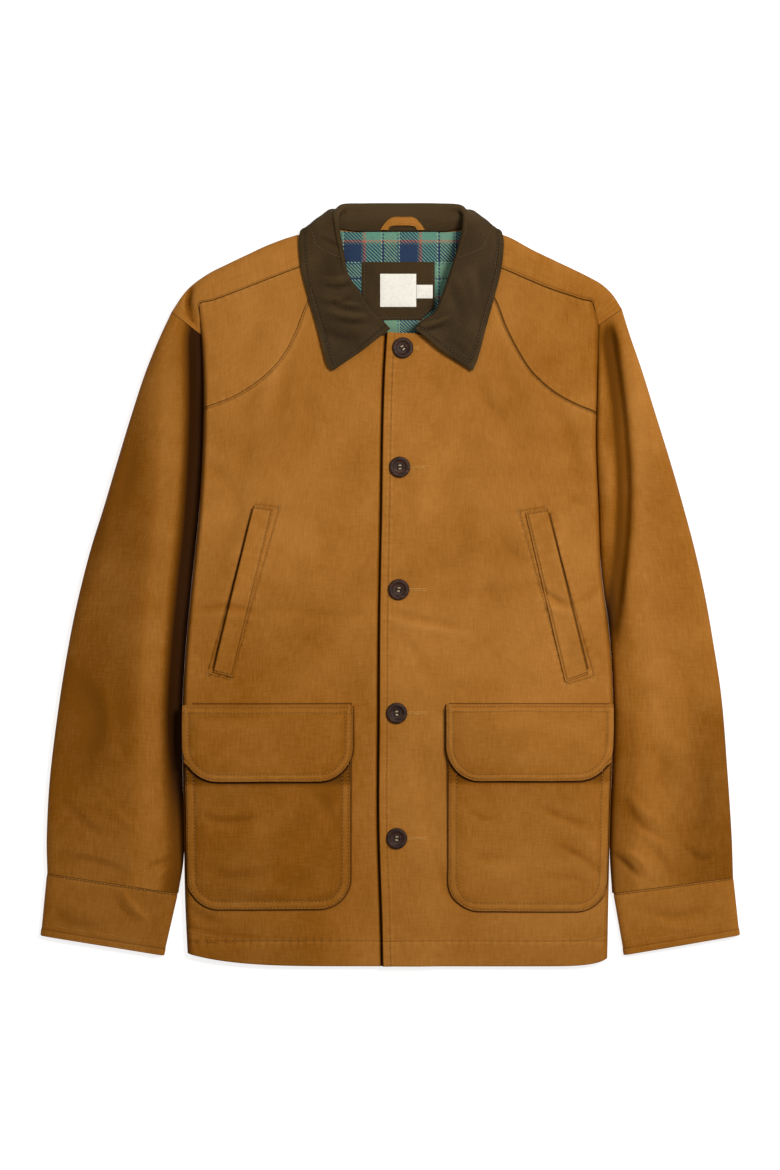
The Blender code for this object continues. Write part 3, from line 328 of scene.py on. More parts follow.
def crease(line, x, u, half_width, reach=None, least=0.0):
    """One crease's share of its depth: a bell across its line that swells along it as half a sine."""
    away, at = near(line, x, u, reach or 3 * half_width)
    swell = np.sin(math.pi * np.clip(at / running(line)[-1], 0.0, 1.0))
    return (least + (1 - least) * swell) * bell(away, half_width)


def creased(x, u):
    """How deep the creases press the cloth. The long valley of the left sleeve has its own fade, and
    is steep on its outer side."""
    x, u = np.broadcast_arrays(x, u)
    depth = np.zeros(x.shape)
    for *points, half_width, deep in CREASES:
        line = through(points, 6 * len(points))
        if len(points) > 3:
            away, at = near(line, x, u, 3 * half_width)
            fade = np.minimum(ease(at / 30.0), ease((running(line)[-1] - at) / 70.0))
            outer_side = x > np.interp(-u, -line[:, 1], line[:, 0])
            depth += deep * fade * bell(np.where(outer_side, away * 1.7, away), half_width)
        else:
            depth += deep * crease(line, x, u, half_width, least=0.25)
    return depth


def rumple(x, u, waves=22):
    """Slow unevenness of cloth that has been worn: a sum of sine waves 45 to 190 mm long in fixed
    random directions."""
    draw = np.random.default_rng(5)
    total = 0.0
    for _ in range(waves):
        angle, length, phase = draw.uniform(0, math.pi), draw.uniform(45, 190), draw.uniform(0, 6.28)
        wave = (x * math.cos(angle) + u * math.sin(angle)) * 2 * math.pi / length + phase
        total = total + 0.0019 * length * np.sin(wave)
    return total * (1 - 0.6 * ease((u - 560) / 60.0) * ease((140 - np.abs(x)) / 40.0))


def painted_fold_shade(x, u):
    """Painted shade: dark in the deep folds, and the ridges a little lighter, as worn wax."""
    depth = creased(x, u)
    return np.clip(-0.12 * (depth - 1.6), -0.36, 0.0) - 0.09 * np.clip(depth, -2.0, 1.6)


def body_shade(x, u):
    """Painted shade in the folds, and the body darker low down on the wearer's right and a little on the wearer's
    left shoulder.
    """
    low = ease((420 - u) / 200) * ease((40 - x) / 150) * (0.3 + 0.05 * (1 - ease(u / 60)))
    return painted_fold_shade(x, u) - low - 0.22 * ease((x - 90) / 60) * ease((u - 540) / 60)


def edge_of(side, u):
    """The body's side at a height up: its distance from the centre, its height and its rounding."""
    return np.moveaxis(curve(BODY_SIDE[side], u), -1, 0)


def front_height(side, x, u):
    """Height of one front: low at the centre front, higher by the sides, less the creases. The left
    one also rises over the right one's lap."""
    centre, sides = np.moveaxis(curve(BODY_HEIGHT, u), -1, 0)
    height = centre + (sides - centre) * ease(np.abs(x) / 150.0) - creased(x, u) + rumple(x, u)
    if side == "left":
        height = height + (CLOTH + LAY) * (1 - ease((x - (OVERLAP - 14)) / 26.0))
    return height


def rolled_height(side, x, u, distance, edge_z, roll):
    """Height of a front that rounds up from its side edge, which is `distance` away."""
    return edge_z + (front_height(side, x, u) - edge_z) * rounding(distance, roll)


def front_surface(side, distance, u):
    """Point of a front at a distance in from its side edge."""
    edge, edge_z, roll = edge_of(side, u)
    x = SIGN[side] * (edge - distance)
    return np.stack([x, np.broadcast_to(u, x.shape), rolled_height(side, x, u, distance, edge_z, roll)], axis=-1)


def outwards(grid, ring=False, part=np.s_[:]):
    """Unit normals of a grid: the cross product of its two mean directions at each point, turned so
    that they point up on average over a part of it."""
    across = np.roll(grid, -1, axis=1) - np.roll(grid, 1, axis=1) if ring else np.gradient(grid, axis=1)
    normal = np.cross(across, np.gradient(grid, axis=0))
    normal /= np.maximum(size_of(normal, True), 1e-9)
    return normal * np.sign(normal[part][..., 2].mean())


def new_piece(name, points, faces, finish):
    """A smooth piece on the jacket's one body, from points in garment millimetres and from arrays of
    faces, one for each number of corners."""
    mesh = bpy.data.meshes.new(name)
    mesh.vertices.add(len(points))
    mesh.vertices.foreach_set("co", place(points).astype(np.float32).ravel())
    corners = np.concatenate([array.ravel() for array in faces])
    count = np.concatenate([np.full(len(array), array.shape[1]) for array in faces])
    mesh.loops.add(len(corners))
    mesh.loops.foreach_set("vertex_index", corners.astype(np.int32))
    mesh.polygons.add(len(count))
    mesh.polygons.foreach_set("loop_start", (np.cumsum(count) - count).astype(np.int32))
    mesh.update(calc_edges=True)
    mesh.validate()
    mesh.polygons.foreach_set("use_smooth", np.ones(len(count), bool))
    mesh.materials.append(finish)
    piece = bpy.data.objects.new(name, mesh)
    scene.collection.objects.link(piece)
    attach(piece, "root")
    return piece


def wall(name, outer, inner, finish, shade=0.0, ring=False, present=None, sewn_rows=()):
    """A thin closed wall of cloth between two grids in garment millimetres, with its rim. The UV map
    holds the lengths along the grid in metres. Two attributes are kept: the shade, above 0 for worn
    cloth and painted highlights and below 0 for painted shade and darker tone, and the signed distances
    in mm to up to three lines, two rows of sewing and a line of painted shade."""
    rows, columns = outer.shape[:2]
    total = rows * columns
    index = np.arange(total).reshape(rows, columns)
    if ring:
        index = np.concatenate([index, index[:, :1]], axis=1)
    quads = np.stack([index[:-1, :-1], index[:-1, 1:], index[1:, 1:], index[1:, :-1]], axis=-1)
    quads = quads.reshape(-1, 4) if present is None else quads[present]
    edges = np.concatenate([quads[:, [k, (k + 1) % 4]] for k in range(4)])
    a, b = edges[~np.isin(edges @ [total, 1], edges @ [1, total])].T
    faces = np.concatenate([quads, quads[:, ::-1] + total, np.stack([b, a, a + total, b + total], axis=1)])
    used, faces = np.unique(faces, return_inverse=True)
    faces = faces.reshape(-1, 4)
    points = np.concatenate([outer.reshape(-1, 3), inner.reshape(-1, 3)])[used]
    a, b, c, d = points[faces].transpose(1, 0, 2)
    if np.sum(a * (np.cross(b, c) + np.cross(c, d))) < 0:
        faces = faces[:, ::-1]
    piece = new_piece(name, points, [faces], finish)
    mesh = piece.data
    across, up = (np.concatenate([[0], np.cumsum(size_of(np.diff(outer, axis=axis)).mean(1 - axis))])
                  for axis in (1, 0))
    flat = np.stack(np.broadcast_arrays(across, up[:, None]), axis=-1).reshape(-1, 2)[used % total] * MM
    mesh.uv_layers.new(name="cut").data.foreach_set("uv", flat[faces.ravel()].astype(np.float32).ravel())
    kept = np.zeros((2 * total, 4))
    kept[:, 1:] = FAR
    for k, value in enumerate((shade, *sewn_rows)):
        kept[:total, k] = np.clip(value + 0 * outer[..., 0], -FAR, FAR).ravel()
    kept = kept[used].astype(np.float32)
    mesh.attributes.new("shade", "FLOAT", "POINT").data.foreach_set("value", kept[:, 0].copy())
    mesh.attributes.new("sewn_rows", "FLOAT_VECTOR", "POINT").data.foreach_set("vector", kept[:, 1:].ravel())
    mesh.set_sharp_from_angle(angle=math.radians(48))
    return piece


def weighted(tree, parts, rest):
    """The sum of the parts, each times its share, and the rest."""
    for part, share in parts:
        rest = node(tree, "Math", {0: part, 1: share, 2: rest}, operation="MULTIPLY_ADD")
    return rest


def wave_scale(spacing):
    """A Wave texture's scale for bands that many millimetres apart: it draws 20 in 2 pi metres."""
    return 2 * math.pi / 20 / (spacing * MM)


def canvas_weave(name, light, dark, rubbed_and_highlit, deepest_shadow):
    """Woven cotton: threads and slubs across and along the cut in the bump and, faintly, in the colour;
    cloudy wax in the colour and the gloss. The shade attribute moves the tone, mixes in a pale colour for
    worn ridges and painted highlights, and mixes in painted shade, a near black brown, where it is far
    below 0 and in grooves, rows of sewing and painted shade lines."""
    made, tree, shader, spot, cut = new_material(name)
    clouds, patches, grain = (node(tree, "TexNoise", {"Vector": spot, "Scale": scale, "Detail": detail})
                              for scale, detail in ((9, 4), (38, 3), (700, 2)))
    along_slubs, across_slubs = (
        node(tree, "TexNoise", {"Vector": node(tree, "Mapping", {"Vector": cut, "Scale": stretch}),
                                "Scale": 1, "Detail": 2}) for stretch in ((620, 70, 1), (80, 560, 1)))
    cloudy = node(tree, "MapRange", {"Value": clouds, 1: 0.36, 2: 0.66})
    tone = weighted(tree, [(grain, 0.25), (across_slubs, 0.42), (along_slubs, 0.62), (patches, 0.42),
                           (cloudy, 0.34)], -0.42)
    shade = node(tree, "Attribute", attribute_name="shade").outputs["Fac"]
    shaded = node(tree, "Math", {0: tone, 1: shade}, operation="ADD", use_clamp=True)
    colour = node(tree, "ValToRGB", {"Fac": shaded}, stops=[(0, dark), (1, light)])
    lit = node(tree, "Math", {0: shade, 1: 1}, operation="MULTIPLY", use_clamp=True)
    rows = node(tree, "Attribute", attribute_name="sewn_rows").outputs["Vector"]
    apart = node(tree, "SeparateXYZ", {"Vector": node(tree, "VectorMath", {0: rows, 1: rows},
                                                      operation="MULTIPLY")})
    # Painted shade: how much of the near black brown is mixed in, from the shade attribute and from the lines of
    # sewing and of painted shade.
    groove, painted_shade_share = 0.0, node(tree, "Math", {0: shade, 1: -1.25, 2: -0.32}, operation="MULTIPLY_ADD",
                             use_clamp=True)
    for axis, dark_share in enumerate((0.34, 0.34, 0.8)):
        fall = node(tree, "Math", {0: apart.outputs[axis], 1: -1.9}, operation="MULTIPLY")
        line = node(tree, "Math", {0: fall}, operation="EXPONENT")
        groove, painted_shade_share = weighted(tree, [(line, 1)], groove), weighted(tree, [(line, dark_share)], painted_shade_share)
    low = node(tree, "Math", {0: painted_shade_share, 1: 0.96}, operation="MINIMUM")
    # Painted highlights and worn ridges mix in the pale colour; painted shade mixes in the near black brown.
    lighter = node(tree, "MixRGB", {"Fac": lit, "Color1": colour, "Color2": linear(rubbed_and_highlit)})
    darker = node(tree, "MixRGB", {"Fac": low, "Color1": lighter, "Color2": linear(deepest_shadow)})
    warp, weft = (node(tree, "TexWave", {"Vector": cut, "Scale": wave_scale(THREADS)},
                       bands_direction=way).outputs["Fac"] for way in "XY")
    weave = node(tree, "Math", {0: warp, 1: weft}, operation="MULTIPLY")
    height = weighted(tree, [(patches, 2.2), (across_slubs, 0.8), (along_slubs, 1.1), (groove, -1.6)], weave)
    joined(tree, shader, {
        "Base Color": darker, "Specular IOR Level": 0.05,
        "Roughness": node(tree, "MapRange", {"Value": cloudy, 3: 0.62, 4: 0.78}),
        "Normal": node(tree, "Bump", {"Height": height, "Strength": 0.45, "Distance": 0.0003})})
    return made


# Waxed cotton canvas, woven and then dressed hot with wax: it gives the eye a deep tan with no shine,
# clouded light and dark, worn pale over seams and ridges, with painted dark shade lines at its seams and painted
# shade in its grooves and folds.
canvas = canvas_weave("waxed cotton canvas", "#b07635", "#885009", "#c98f4d", "#2a1302")


# ---- Stitched lines and seams on the body ----
# Every seam is sewn with a tan polyester thread. The stitching draws the canvas down into a shallow
# groove, with small puckers beside it, and the layers folded inside a seam or hem stand a little proud.
YOKE_SEAM = {
    "right": [(197.3, 557.5), (171, 567), (148, 580), (127, 598), (113, 617), (104, 636), (96, 657),
              (88, 673), (79.5, 685)],
    "left": [(195.2, 553), (173, 562), (152, 574), (132, 592), (119, 611), (105.5, 637), (96, 662),
             (88, 675), (78, 685)],
}
NECKLINE = {
    "right": [(-16, 632), (11, 632), (26, 633.5), (45, 643.5), (65, 661), (75, 674), (79.5, 685)],
    "left": [(-14, 633), (13, 632), (28, 633.5), (45, 643), (62, 660), (73, 674), (78, 685)],
}
HEM_RISE = {"right": (13, 5), "left": (8, 16)}
HEM_DEPTH = 25.4
PLACKET_STITCH = 8.0
POCKET_TOP = 262.0           # height of the flaps' upper edge
WELT = {
    "right": [(126.6, 457), (146.5, 460), (187, 294), (167, 289)],
    "left": [(123.7, 453), (146, 457), (186.5, 292), (163.5, 284)],
}
BESIDE_SEAM = 1.8  # mm from a seam to its topstitching
SEAM_LINE = {"right": 2.3, "left": 0.8}  # how thin the painted shade line in the yoke seam is
SHOULDER_LINE = {"right": 1.5, "left": 1.0}  # the same for the shoulder seam
HEM_STITCH = {side: np.stack([np.linspace(*ends, 50), np.full(50, HEM_DEPTH)], axis=1)
              for side, ends in {"left": (-17.5, 205.5), "right": (-16.5, -211.5)}.items()}


def smooth_line(points, count):
    """A smooth line of `count` points, evenly spaced, through the given ones."""
    return along(through(points, 12 * len(points)), np.linspace(0, 1, count))


def beside(line, distance):
    """The line moved sideways, to its left for a distance above 0."""
    step = np.gradient(line, axis=0)
    step /= size_of(step, True)
    return line + np.stack([-step[:, 1], step[:, 0]], axis=1) * distance


def about_middle(corners, stretch):
    """Corners moved apart from their middle by a factor across and one up."""
    return corners.mean(0) + (corners - corners.mean(0)) * stretch


front_edge_line = smooth_line([(x, u) for u, x in FRONT_EDGE], 60)
placket_line = front_edge_line + [PLACKET_STITCH, 0]
yoke_line, welt_frame, STITCHED = {}, {}, {}
for side in SIGN:
    yoke_line[side] = smooth_line(mirrored(side, YOKE_SEAM[side]), 40)
    welt_frame[side] = about_middle(mirrored(side, WELT[side]), [1.19, 1.02])[[0, 1, 2, 3, 0]]
    STITCHED[side] = [beside(yoke_line[side], SIGN[side] * BESIDE_SEAM), welt_frame[side]]
STITCHED["left"].append(placket_line[:-1])
for side in SIGN:
    STITCHED[side].append(HEM_STITCH[side])


def sewn(lines, x, u, deep=0.55, pucker=0.16):
    """How deep stitching presses the cloth: a narrow groove along each line, with small puckers on
    both sides of it that fade in 6 mm."""
    total = np.zeros(np.broadcast(x, u).shape)
    for number, line in enumerate(lines):
        away, at = near(line, x, u, 20.0)
        uneven = np.sin(at * 2 * math.pi / 8.3 + 1.7 * np.sin(at / 23.0 + number))
        total = total + deep * bell(away, 0.9) + pucker * uneven * bell(away, 4.5)
    return total


def painted_relief_shade(relief):
    """Painted shade where the fine relief is low, and a little lighter where it stands proud, as wear: the
    relief less its mean over the neighbouring points."""
    mean = relief
    for _ in range(6):
        padded = np.pad(mean, 1, mode="edge")
        mean = (padded[:-2, 1:-1] + padded[2:, 1:-1] + padded[1:-1, :-2] + padded[1:-1, 2:]) / 4
    return np.clip((relief - mean) * 0.5, -0.7, 0.1)


# ---- The two fronts ----
# Each front is one piece of canvas from the hem to the neckline. The wearer's left laps over the
# right, its edge turned under and stitched 8 mm in. The hem is turned up 25 mm.
ROLL_STEPS = 1 - np.cos(np.radians(np.linspace(0, 90, 9)))
# gap to the side edge, far side's distance from the centre line, bottom, top, corner radius
PATCH_POCKET = {"right": (3.6, 50.5, 57.5, 252, 31), "left": (2.6, 47.5, 55.5, 253, 31)}
POCKET_FLAP = {"right": (0.9, 48, 185.4, 261.5, 35), "left": (0.9, 45.5, 186.3, 262.5, 35)}


def spaced(length, coarse, fine, places, reach):
    """Shares of a length that lie `coarse` mm apart and close up to `fine` mm at the given places: the
    running sum of the wished density, cut in even parts."""
    at = np.linspace(0, length, 4000)
    close = bell(at[:, None] - np.array(places, float), reach).max(axis=1)
    run = np.cumsum(1 / coarse + (1 / fine - 1 / coarse) * close)
    run = (run - run[0]) * length / 3999
    return np.interp(np.linspace(0, run[-1], int(run[-1]) + 2), run, at) / length


def frame_distance(closed, x, u):
    """Signed distance to a closed four-sided frame, below 0 inside it."""
    away, _ = near(closed, x, u)
    turn = [s[0] * (u - c[1]) - s[1] * (x - c[0]) for s, c in zip(np.diff(closed, axis=0), closed)]
    return np.where((np.min(turn, axis=0) > 0) | (np.max(turn, axis=0) < 0), -away, away)


def cover_distance(side, size, distance, u):
    """Signed distance to the sides and the rounded foot of a pocket, below 0 inside it."""
    inset, far, bottom, top, radius = size
    half = (edge_of(side, u)[0] - far - inset) / 2
    past_side = np.abs(distance - inset - half) - half + radius
    past_foot = bottom + radius - u
    away = np.hypot(np.maximum(past_side, 0), np.maximum(past_foot, 0))
    away = away + np.minimum(np.maximum(past_side, past_foot), 0) - radius
    return np.where(u < top, away, FAR)


def front_panel(side):
    """A front as a grid: rows run straight across from the side edge to the front edge. The shape of
    the hem and of the yoke seam and neckline is added to the first and last rows, fading between."""
    seam_line, neck_line = through(YOKE_SEAM[side], 120), through(NECKLINE[side][::-1], 120)
    (rise, late), left = HEM_RISE[side], side == "left"
    v = spaced(632, 3, 0.6, (0, HEM_DEPTH, 632), 3)[:, None]
    side_up, front_up = rise + v * (YOKE_SEAM[side][0][1] - rise), v * NECKLINE[side][0][1]
    edge, edge_z, roll = edge_of(side, side_up)
    front = SIGN[side] * (curve(FRONT_EDGE, front_up)[..., 0] + (0 if left else OVERLAP))
    peak = (edge[-1, 0] - seam_line[-1, 0]) / (edge[-1, 0] - front[-1, 0])
    start = roll[5, 0] / edge[5, 0]
    to_front = spaced(95, 2.2, 0.5, (87 if left else 60, 95), 2.5)
    share = np.concatenate([ROLL_STEPS[:-1] * start, np.linspace(start, peak, 46, endpoint=False),
                            peak + (1 - peak) * to_front])[None, :]
    top_x = edge[-1, 0] + (front[-1, 0] - edge[-1, 0]) * share[0]
    top_up = np.where(share[0] <= peak, *(np.interp(-top_x, -line[:, 0], line[:, 1])
                                          for line in (seam_line, neck_line)))
    distance = (edge - front) * share
    x = SIGN[side] * (edge - distance)
    bend = rise * (1 - share) ** late
    u = side_up * (1 - share) + front_up * share + (1 - v) ** 6 * (bend - rise * (1 - share))
    u = u + v**4 * (top_up - u[-1])
    hem = u - bend
    hem_layers = 0.8 * (1 - ease((hem - HEM_DEPTH) / 1.6))
    seam_away = np.minimum(near(yoke_line[side], x, u)[0], FAR)
    press = sewn(STITCHED[side], x, u) + 0.9 * (1 - rounding(seam_away, 1.6))
    inner_row = np.minimum(seam_away - BESIDE_SEAM, frame_distance(welt_frame[side], x, u))
    from_front, past_edge = np.abs(front - SIGN[side] * x), x - curve(FRONT_EDGE, u)[..., 0]
    # Painted shade along the left front's rim, and a painted shadow on the right front where it sinks under the
    # lap's edge.
    if left:
        stands = 1.1 * (1 - ease((from_front - 7.5) / 3.0)) - 1.3 * (1 - rounding(from_front, 1.4))
        shade, placket_shadow = -0.6 * (1 - ease(from_front / 1.6)), from_front * 1.1
        inner_row = np.minimum(inner_row, from_front - PLACKET_STITCH)
    else:
        stands = -1.6 * bell(past_edge + 1.2, 2.0)
        shade, placket_shadow = -0.9 * bell(past_edge + 1.2, 1.6), (past_edge + 0.8) * 1.3
    z = rolled_height(side, x, u, distance, edge_z, roll) + hem_layers - press + stands
    z = z - 0.9 * (1 - rounding(hem, 1.4))
    # Painted shade in the low relief and in the folds, and towards the side edge, where the front rounds down.
    shade = shade + painted_relief_shade(hem_layers - press) + body_shade(x, u) - 0.25 * (1 - ease(distance / 7.0))
    # The third line is painted shade: in the yoke seam, above the flaps, round the pockets and flaps, beside the
    # welts' open edges and along the placket's edge.
    dark = seam_away * SEAM_LINE[side]
    flap_top = np.where((np.abs(x) > 47) & (np.abs(x) < 209), u - POCKET_TOP - 0.7, FAR)
    outline = np.minimum(*(cover_distance(side, size[side], distance, u) for size in (PATCH_POCKET, POCKET_FLAP)))
    (top_x, top_u), (foot_x, foot_u) = WELT[side][1:3]
    welt_gape_shadow = SIGN[side] * x - top_x - (top_u - u) * (foot_x - top_x) / (top_u - foot_u) - 1.0
    welt_gape_shadow = np.where((u < top_u - 2) & (u > foot_u + 3), welt_gape_shadow, FAR)
    for row in (flap_top * 1.1, (outline - 0.7) * 0.72, welt_gape_shadow * 0.7, placket_shadow):
        dark = np.where(np.abs(row) < np.abs(dark), row, dark)
    return np.stack([x, u, z], axis=-1), shade, (inner_row, hem - HEM_DEPTH, dark)


def sheet_piece(name, shown_as, outer, inner, flat, area, rests_on, finish=canvas, held="laid",
                slot="waxed_canvas", **kept):
    """A wall of cloth in place of its CAD node. Its slot and the cut of its cloth, as width and
    length in metres and area in square metres, are not used."""
    piece = pieces[name] = wall(shown_as, outer, inner, finish, **kept)
    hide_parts(name)


grids, pieces = {}, {}
for side, area, rests_on in (("right", 0.158, ["back"]), ("left", 0.161, ["back", "front_right"])):
    grid, shade, rows = front_panel(side)
    grids["front_" + side] = grid
    sheet_piece("front_" + side, "front_canvas_" + side, grid, grid - outwards(grid) * WALL, (0.25, 0.715),
                area, rests_on, shade=shade, sewn_rows=rows)


# ---- The shoulder yokes ----
# A shaped yoke of the same canvas lies between the front, the armhole and the forward shoulder seam.
# The yoke seam is pressed towards the front and topstitched on it.
SHOULDER = {  # outer end, its height over the hem, inner end, its height over the hem, height from the table
    "right": [(78, 733, 82, 704, 15), (103, 731, 101, 698, 15.2), (130, 722, 125, 689, 15.4),
              (153, 711.5, 148, 680, 15.5), (175, 701, 171, 671, 15.5), (191, 693, 187, 665, 15.5),
              (207, 682, 201, 661, 15.5), (218, 670.5, 200.2, 646, 15.5), (229, 654, 199.2, 631, 15.5)],
    "left": [(79, 733, 81, 704, 15), (104, 730.5, 103, 696, 15.2), (132, 716, 128, 685, 15.4),
             (156, 704.5, 150, 676, 15.5), (175, 695.5, 168, 670, 15.5), (189, 688.5, 181, 665.8, 15.6),
             (201, 681.5, 191, 663, 15.8), (212, 671, 194.5, 651, 16), (221, 657, 197, 640, 16)],
}
ARMHOLE_ROW = 6


def shoulder_line(side, first, last, count):
    """Sections of one shoulder between two rows of its table: outer ends, inner ends, heights."""
    rows = through(SHOULDER[side], count, first, last)
    return mirrored(side, rows[:, :2]), mirrored(side, rows[:, 2:4]), rows[:, 4]


def seam_press(lines, x, u):
    """How deep pressed seams lie, with small puckers beside them."""
    away = np.min([near(line, x, u)[0] for line in lines], axis=0)
    return 0.9 * (1 - rounding(away, 1.5)) + sewn(lines, x, u, deep=0.0, pucker=0.13)


def yoke_panel(side):
    """A yoke, blended in plan from its four edges."""
    seam_points = grids["front_" + side][-1]
    bottom = seam_points[:int(np.argmax(seam_points[:, 1])) + 1, :2]
    t = spaced(90, 2.2, 0.5, (0, 90), 3)[:, None, None]
    shoulder = shoulder_seam[side][::-1]
    run = running(bottom)
    run /= run[-1]
    even = run * 0.35 + np.linspace(0, 1, len(bottom)) * 0.65
    top = along(shoulder, even)
    side_up = bottom[0, 1] + t[:, 0] * (top[0, 1] - bottom[0, 1])
    edge, edge_z, roll = edge_of(side, side_up)
    armhole = np.stack([SIGN[side] * edge, side_up], axis=-1)
    neck = bottom[-1] + t * (top[-1] - bottom[-1])
    s = (run * (1 - t[..., 0]) + even * t[..., 0])[..., None]
    flat = bottom * (1 - t) + top * t + armhole * (1 - s) + neck * s
    flat = flat - (bottom[0] * (1 - s) + bottom[-1] * s) * (1 - t) - (top[0] * (1 - s) + top[-1] * s) * t
    distance = size_of(flat - armhole)
    x, u = flat[..., 0], flat[..., 1]
    press = seam_press([yoke_line[side], shoulder], x, u)
    thin = np.minimum(near(yoke_line[side], x, u)[0] * SEAM_LINE[side],
                      near(shoulder, x, u)[0] * SHOULDER_LINE[side])
    # Painted shade in the low relief and the folds, and towards the armhole edge; the third line is painted shade in
    # the seams.
    shade = painted_relief_shade(-press) + body_shade(x, u) - 0.2 * (1 - ease(distance / 7.0))
    return np.stack([x, u, rolled_height(side, x, u, distance, edge_z, roll) - press], axis=-1), shade, thin


shoulder_seam = {side: shoulder_line(side, 0, ARMHOLE_ROW, 80)[1] for side in SIGN}
for side in SIGN:
    grid, shade, thin = yoke_panel(side)
    grids["yoke_" + side] = grid
    sheet_piece("yoke_" + side, "yoke_canvas_" + side, grid, grid - outwards(grid) * WALL, (0.135, 0.15), 0.0115,
                ["back"], shade=shade, sewn_rows=(FAR, FAR, thin))


# ---- The back ----
# The back is one piece that also covers the top of each shoulder: it rolls over to the forward
# shoulder seam. It lies flat on the table and rises to the side seams below the underarms.
COLLAR_CLOTH = 2.5
FALL_UNDER_BACK = COLLAR_CLOTH + 2 * LAY
UNDERARM = {"right": (455.0, 500.0), "left": (395.0, 455.0)}
NECK_POINT, BACK_NECK_UP = 78.0, 734.0
COLUMNS_A_SIDE = 46


def over_the_fall(x, u):
    """How far the collar's fall lifts the back off the table."""
    return FALL_UNDER_BACK * ease((u - 590) / 42.0) * ease((128 - np.abs(x)) / 24.0)


def underarm_lift(side, u):
    """1 below the underarm, where the lower layer rises to meet the upper one, and 0 above it."""
    low, high = UNDERARM[side]
    return 1 - ease((u - low) / (high - low))


def back_lower(wide, neck_x, rows=120):
    """The back from the hem to the level of the sleeve-head seams."""
    v = np.linspace(0, 1, rows)[:, None]
    rolled = np.concatenate([ROLL_STEPS * 0.1, np.linspace(0.1, 1, wide - 8)[1:]])
    to_even = ease((v - 0.8) / 0.2)
    half = {}
    for side in SIGN:
        foot = HEM_RISE[side][0] + LAY
        up = foot + v * (SHOULDER[side][-1][3] - foot)
        edge, edge_z, roll = edge_of(side, up)
        x = edge + (NECK_POINT - edge) * (rolled * (1 - to_even) + np.linspace(0, 1, wide) * to_even)
        half[side] = (SIGN[side] * x, edge_z * underarm_lift(side, up) * (1 - rounding(edge - x, roll)), up)
    middle = np.broadcast_to(neck_x, (rows, len(neck_x)))
    x, z = (np.concatenate([half["right"][k], between, half["left"][k][:, ::-1]], axis=1)
            for k, between in enumerate((middle, middle * 0)))
    across = (x - x[:, :1]) / (x[:, -1:] - x[:, :1])
    u = half["right"][2] * (1 - across) + half["left"][2] * across
    for side, (rise, late) in HEM_RISE.items():
        share = across if side == "left" else 1 - across
        reach = np.clip(SIGN[side] * x / edge_of(side, 0.0)[0], 0, 1)
        u = u + (1 - v) ** 6 * rise * (reach**late - share)
    return np.stack([x, np.maximum(u, LAY * (1 - v)), z], axis=-1)


def back_panel():
    """The back as one grid from side to side. Its rows run up to the shoulders' outline and on over
    them; the columns between the neck points end at the back neckline."""
    ends = {}
    for side in SIGN:
        outer, inner, height = (part[::-1] for part in shoulder_line(side, 0, 8, COLUMNS_A_SIDE))
        corner = mirrored(side, SHOULDER[side][ARMHOLE_ROW][2:4])
        away = np.where(inner[:, 1] > corner[1], size_of(inner - corner), 0.0)
        _, edge_z, roll = edge_of(side, inner[:, 1])
        ends[side] = (outer, inner, height, rolled_height(side, *inner.T, away, edge_z, roll))
    right, left = ends["right"], [part[::-1] for part in ends["left"]]
    neck_x = np.linspace(-NECK_POINT, NECK_POINT, 41)[1:-1]
    neck_up = BACK_NECK_UP + 3.0 * ease((np.abs(neck_x) - 40) / 30.0)
    neck_z = np.interp(np.abs(neck_x), [40, 60, 78], [FALL_UNDER_BACK, 4.7, 7.4])
    outline = np.concatenate([right[0], np.stack([neck_x, neck_up], 1), left[0]])
    outline_z = np.concatenate([TUBE_SEAM * right[2], neck_z, TUBE_SEAM * left[2]])
    lower = back_lower(COLUMNS_A_SIDE, neck_x)
    length, reach = size_of(outline - lower[-1, :, :2]), TUBE_ROLL * 15.5
    share = np.concatenate([np.linspace(0, 1, 24)[1:, None] * (1 - reach / length),
                            1 - ROLL_STEPS[-2::-1, None] * reach / length])
    plan = lower[-1, :, :2] * (1 - share[..., None]) + outline * share[..., None]
    ground = over_the_fall(plan[..., 0], plan[..., 1])
    end = np.maximum(outline_z, over_the_fall(outline[:, 0], outline[:, 1]))
    upper = np.dstack([plan, ground + (end - ground) * (1 - rounding((1 - share) * length, reach))])
    over = []
    for outer, seam, height, seam_z in (right, left):
        run = size_of(seam - outer)
        roll = TUBE_ROLL * height / run
        t = np.concatenate([ROLL_STEPS[1:, None] * roll,
                            roll + spaced(28, 1.6, 0.5, (28,), 4)[1:, None] * (1 - roll)])
        plan = outer * (1 - t[..., None]) + seam * t[..., None]
        x, u = plan[..., 0], plan[..., 1]
        top = height + (seam_z - height) * t**2 - (creased(x, u) - rumple(x, u)) * (1 - t**4)
        z = TUBE_SEAM * height + (top - TUBE_SEAM * height) * rounding(t * run, TUBE_ROLL * height)
        over.append(np.dstack([plan, z - seam_press([seam], x, u)]))
    no_cloth = np.repeat(upper[-1:, COLUMNS_A_SIDE:-COLUMNS_A_SIDE], len(over[0]), axis=0)
    grid = np.concatenate([lower, upper, np.concatenate([over[0], no_cloth, over[1]], axis=1)])
    outline_row = len(lower) + len(upper) - 1
    present = np.ones((grid.shape[0] - 1, grid.shape[1] - 1), bool)
    present[outline_row:, COLUMNS_A_SIDE - 1:1 - COLUMNS_A_SIDE] = False
    return grid, present, outline_row


def inward(grid, present=True):
    """Mean normal of the cells around each point of a grid. It has not been turned to either side."""
    cell = np.cross(grid[1:, 1:] - grid[:-1, :-1], grid[1:, :-1] - grid[:-1, 1:]) * np.expand_dims(present, -1)
    normal = np.zeros_like(grid)
    for r in (slice(None, -1), slice(1, None)):
        for c in (slice(None, -1), slice(1, None)):
            normal[r, c] += cell
    return normal / np.maximum(size_of(normal, True), 1e-9)


